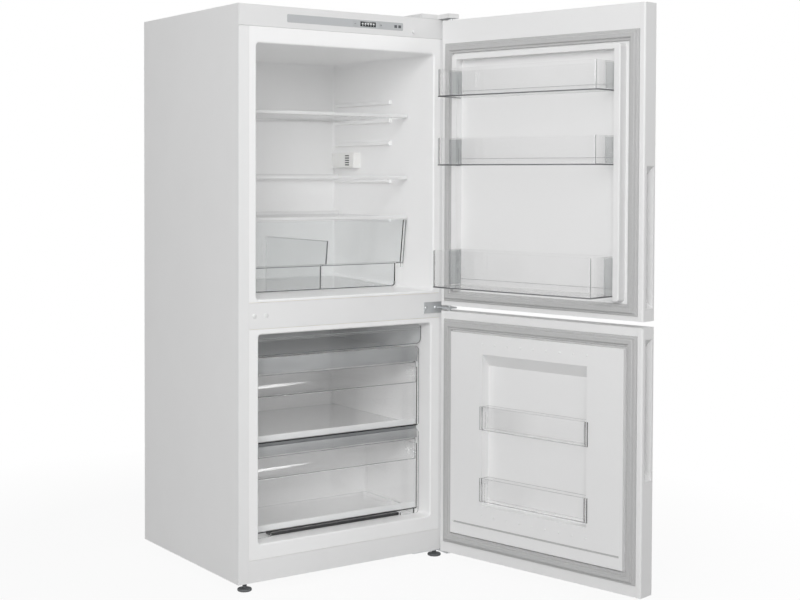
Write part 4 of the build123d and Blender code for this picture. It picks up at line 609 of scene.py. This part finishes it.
# The flap's edge runs down one end, round the lower corners and up the other end.
low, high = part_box("freezer_flap")
FLAP_END_IN, FLAP_DOWN, FLAP_CORNER, CORNER_MIDDLE = 0.0028, 0.004, 0.012, 0.0035
half, y, z0, z1 = high[0] - FLAP_END_IN, low[1] + EDGE_IN, low[2] + EDGE_IN, high[2]
outline = [(half, z1 - FLAP_DOWN), (half, z0 + FLAP_CORNER), (half - CORNER_MIDDLE, z0 + CORNER_MIDDLE),
           (half - FLAP_CORNER, z0)]
rim = [(-x, y, z) for x, z in outline] + [(x, y, z) for x, z in outline[::-1]]
wires("flap_edge", [rim], EDGE_R, edge_shade, "flap")


# Hinges: pressed zinc-plated steel plates with riveted pins, screwed to the cabinet.
# Zinc plating is bright but not mirror-like, with a fine directionless grain.
zinc, tree, shader = finish("zinc_plated_steel", "#cacccd", 0.38, metallic=1.0)
vary(tree, shader, "Roughness", 0.003, 0.3, 0.5, detail=4.0)
vary(tree, shader, "Base Color", 0.003, "#bec0c2", "#d6d8d9", detail=4.0)
dress(zinc, "top_hinge", "middle_hinge", "bottom_hinge")

# Screws: zinc-plated steel, driven through the hinge plates into the cabinet, two to a hinge.
# The pan heads are cold-headed with a cross recess.
SCREW_PROFILE = [(0.0024, -0.004), (0.0024, 0.0), (0.0045, 0.0), (0.0045, 0.0009), (0.0040, 0.0018), (0.0030, 0.0024),
                 (0.0024, 0.0025), (0.0021, 0.0013), (0.0007, 0.0010)]


def cross_recess(radius, row, angle):
    """Draws the last rows of the head in to a cross."""
    if row < len(SCREW_PROFILE) - 3:
        return radius
    return radius * (0.42 + 0.58 * abs(math.cos(2 * angle)) ** 3)


mid_low, mid_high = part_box("middle_hinge")
# One pair of screws to a hinge: the two x, then y, z and the way the head looks.
SCREW_PAIRS = (((0.230, 0.260), FRONT_Y - 0.0025, (mid_low[2] + mid_high[2]) / 2, (0, -1, 0)),
               ((0.242, 0.272), FRONT_Y + 0.0508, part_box("top_hinge")[1][2], (0, 0, 1)),
               ((0.213, 0.243), FRONT_Y + 0.0285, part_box("bottom_hinge")[0][2], (0, 0, -1)))
heads = [turned(SCREW_PROFILE, (x, y, z), axis, 48, cross_recess) for pair, y, z, axis in SCREW_PAIRS for x in pair]
screws = new_piece("hinge_screw_heads", *several(heads), zinc, "cabinet", "zinc_steel")
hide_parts("hinge_screws")


# Freezer evaporators: roll-bonded aluminium shelves with their tubes below, lacquered white all over.
# A grey plastic edging is pushed on the lip in front, so that nobody cuts a hand on the sheet.
lacquer, tree, shader = finish("white_lacquered_aluminium", "#fafafa", 0.4)
place = add_node(tree, "ShaderNodeTexCoord")
apart = add_node(tree, "ShaderNodeSeparateXYZ", {0: place.outputs["Object"]})
EDGING_DEPTH = 0.0012
EDGING_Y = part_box("freezer_evaporators")[0][1] + EDGING_DEPTH
back = add_node(tree, "ShaderNodeMath", {0: apart.outputs["Y"], 1: EDGING_Y}, operation="GREATER_THAN")
tone = add_node(tree, "ShaderNodeMix", {0: back.outputs[0], 6: linear("#96989a"), 7: linear("#fafafa")},
                data_type="RGBA")
tree.links.new(tone.outputs[2], shader.inputs["Base Color"])
vary(tree, shader, "Roughness", 0.003, 0.34, 0.48)
dress(lacquer, "freezer_evaporators")

# Fridge cold plate: bare rolled aluminium, foamed in behind the fridge's liner.
# The rolling lines are drawn 1.5 mm apart; the real ones are too fine to show.
aluminium, tree, shader = finish("rolled_aluminium", "#c9cccd", 0.34, metallic=1.0)
vary(tree, shader, "Roughness", 0.0015, 0.26, 0.44, squash=(1.0, 1.0, 0.05))
dress(aluminium, "fridge_evaporator")

# Insulation: polyurethane foam, blown in between shell and liner, where it sets hard and holds both.
# It is pale yellow and dull, pitted with cells of about 1 mm.
foam, tree, shader = finish("rigid_polyurethane_foam", "#e6d9a8", 0.9, 1.4)
place = add_node(tree, "ShaderNodeTexCoord")
cells = add_node(tree, "ShaderNodeTexVoronoi", {"Vector": place.outputs["Object"], "Scale": 1 / 0.001})
bump = add_node(tree, "ShaderNodeBump", {"Height": cells.outputs["Distance"], "Strength": 0.4, "Distance": 0.0005})
tree.links.new(bump.outputs[0], shader.inputs["Normal"])
vary(tree, shader, "Base Color", 0.05, "#dfcf98", "#ece0b4", detail=3.0)
dress(foam, "cabinet_foam", "fridge_door_foam", "freezer_door_foam")

# Floor bar: a dark grey bar set across the freezer's floor, under the lower drawer, as painted shade.
# It stands for the shaded gap below the drawer's front, and shows as a dark slot there.
low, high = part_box("freezer_drawer_lower")
BAR_HALF_W, BAR_H, BAR_RADIUS = 0.1875, 0.0078, 0.0034
BAR_FRONT, BAR_BACK, BAR_Z = low[1] + 0.0042, low[1] + 0.0300, low[2] - 0.0004
bar = soft_block((-BAR_HALF_W, BAR_FRONT, BAR_Z), (BAR_HALF_W, BAR_BACK, BAR_Z + BAR_H), BAR_RADIUS, 4)
new_piece("freezer_floor_shade_bar", *bar, dark_abs, "cabinet", "dark_plastic")


# Feet and rollers: moulded grey polypropylene, feet with a threaded stem and plain rollers on stub axles.
# The feet's discs have grip flutes, so that they turn by hand; scuffs make the plastic unevenly dull.
foot_plastic, tree, shader = finish("grey_moulded_polypropylene", "#5f6163", 0.5, 1.49)
vary(tree, shader, "Roughness", 0.003, 0.42, 0.62, detail=4.0)
dress(foot_plastic, "rear_roller_left", "rear_roller_right")
STEM_R, THREAD_R, THREAD_Z, HALF_TURN = 0.0050, 0.0047, 0.0120, 0.0006
FOOT_DISC = [(0.0150, 0.0), (0.0165, 0.0008), (0.0170, 0.002), (0.0170, 0.0045), (0.0160, 0.006), (0.0080, 0.0072),
             (0.0052, 0.0080)]
FOOT_THREAD = [(THREAD_R if n % 2 else STEM_R, THREAD_Z + HALF_TURN * n) for n in range(9)]
FOOT_PROFILE = FOOT_DISC + FOOT_THREAD + [(STEM_R, 0.0360)]
FLUTES, FLUTE_DEPTH = 24, 0.0005


def flutes(radius, row, angle):
    """Cuts the flutes into the disc's rim, which is rows 1 to 4 of the profile."""
    return radius - (FLUTE_DEPTH * max(0.0, math.cos(FLUTES * angle)) if 1 <= row <= 4 else 0.0)


for side in ("left", "right"):
    low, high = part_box("levelling_foot_" + side)
    verts, faces = turned(FOOT_PROFILE, ((low[0] + high[0]) / 2, (low[1] + high[1]) / 2, 0), (0, 0, 1), 144, flutes)
    foot = new_piece("fluted_foot_" + side, verts, faces, foot_plastic, side + "_foot", "dark_plastic")
    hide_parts("levelling_foot_" + side)


# Back and base: galvanised sheet steel, folded, with the zinc's spangle of about 8 mm.
# The machine niche at the bottom holds the compressor on rubber mounts.

# Galvanised sheet: grey metal whose flakes differ a little in tone and shine.
galvanised, tree, shader = finish("galvanised_sheet", "#b0b3b5", 0.45, metallic=1.0)
place = add_node(tree, "ShaderNodeTexCoord")
spangle = add_node(tree, "ShaderNodeTexVoronoi", {"Vector": place.outputs["Object"], "Scale": 1 / 0.008})
flake = add_node(tree, "ShaderNodeSeparateColor", {0: spangle.outputs["Color"]})
tone = add_node(tree, "ShaderNodeMix", {0: flake.outputs[0], 6: linear("#a4a8aa"), 7: linear("#bec1c2")},
                data_type="RGBA")
tree.links.new(tone.outputs[2], shader.inputs["Base Color"])
rough = add_node(tree, "ShaderNodeMapRange", {0: flake.outputs[1], 3: 0.38, 4: 0.55})
tree.links.new(rough.outputs[0], shader.inputs["Roughness"])
dress(galvanised, "back_panel", "base_pan")

# Black stove enamel: baked on thick, with a fine orange peel and dust that dulls it in places.
black_lacquer, tree, shader = finish("black_stove_enamel", "#1c1c1e", 0.42)
roughen(tree, shader, 0.002, 0.0003, 0.12, detail=2.0)
vary(tree, shader, "Roughness", 0.05, 0.34, 0.55, detail=4.0)
dress(black_lacquer, "compressor", "condenser")
dress(dark_abs, "relay_box", "drip_tray")

# Black rubber: matt, with a faint grey bloom.
black_rubber, tree, shader = finish("black_moulded_rubber", "#222222", 0.75)
vary(tree, shader, "Base Color", 0.004, "#1c1c1c", "#2a2a2a", detail=3.0)
dress(black_rubber, "compressor_mounts", "cord_gland")


# Condenser wires: steel wires of 1.5 mm, spot-welded across the serpentine tube and enamelled black with it.
# None is set where one of the three upright mounting straps stands.
low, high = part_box("condenser")
WIRE_R, WIRE_PITCH, WIRES_A_SIDE, WIRE_END = 0.00075, 0.0095, 23, 0.004
TUBE_D = 0.005
WIRE_Y = high[1] - TUBE_D - WIRE_R
STRAPS_X, STRAP_CLEAR = (-0.18, 0.0, 0.18), 0.0085
rows = []
for n in range(-WIRES_A_SIDE, WIRES_A_SIDE + 1):
    x = n * WIRE_PITCH
    if min(abs(x - strap) for strap in STRAPS_X) > STRAP_CLEAR:
        rows.append([(x, WIRE_Y, low[2] + WIRE_END), (x, WIRE_Y, high[2] - WIRE_END)])
wires("condenser_wires", rows, WIRE_R, black_lacquer, "cabinet")


# Pipes in the niche: drawn copper, bent by hand and brazed to the compressor's stubs.
# The filter drier is a fatter copper capsule in the line to the capillary tube.

# Drawn copper: warm and fairly bright, with tarnish that darkens and dulls it in patches.
copper, tree, shader = finish("drawn_copper", "#c08a68", 0.35, metallic=1.0)
vary(tree, shader, "Base Color", 0.02, "#a87252", "#c8967a", detail=4.0)
vary(tree, shader, "Roughness", 0.02, 0.28, 0.5, detail=4.0)
coil_low, coil_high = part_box("condenser")
PIPE_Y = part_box("compressor")[1][1] - 0.002
COIL_Y = coil_high[1] - 0.0045
PIPE_R, CAPILLARY_R = 0.003, 0.0016
discharge = [(0.084, PIPE_Y - 0.01, 0.115), (0.084, PIPE_Y + 0.004, 0.115), (0.110, PIPE_Y + 0.004, 0.115),
             (0.200, PIPE_Y - 0.010, 0.120), (0.225, PIPE_Y - 0.005, 0.200), (0.232, COIL_Y, 0.270),
             (0.238, COIL_Y, coil_low[2] + 0.02)]
suction = [(-0.004, PIPE_Y - 0.01, 0.0775), (-0.004, PIPE_Y + 0.004, 0.0775), (-0.030, PIPE_Y + 0.004, 0.080),
           (-0.120, PIPE_Y - 0.020, 0.090), (-0.200, 0.200, 0.110), (-0.215, 0.190, 0.180), (-0.215, 0.190, 0.246)]
wires("copper_pipes", [discharge, suction], PIPE_R, copper, "cabinet", "NURBS")
DRIER_PROFILE = [(0.0020, 0.0), (0.0030, 0.006), (0.0085, 0.014), (0.0095, 0.020), (0.0095, 0.085), (0.0085, 0.091),
                 (0.0030, 0.099), (0.0016, 0.105)]
DRIER_X, DRIER_Y = -0.245, 0.225
verts, faces = turned(DRIER_PROFILE, (DRIER_X, DRIER_Y, 0.130), (0, 0, 1))
new_piece("filter_drier", verts, faces, copper, "cabinet", "black_paint")
inlet = [(DRIER_X, DRIER_Y, 0.233), (DRIER_X, DRIER_Y, 0.250)]
capillary = [(DRIER_X, DRIER_Y, 0.131), (DRIER_X, DRIER_Y, 0.115), (-0.235, 0.215, 0.100), (-0.215, 0.150, 0.100),
             (-0.215, 0.120, 0.130), (-0.215, 0.110, 0.180), (-0.215, 0.105, 0.246)]
wires("drier_pipes", [inlet, capillary], CAPILLARY_R, copper, "cabinet", "NURBS")
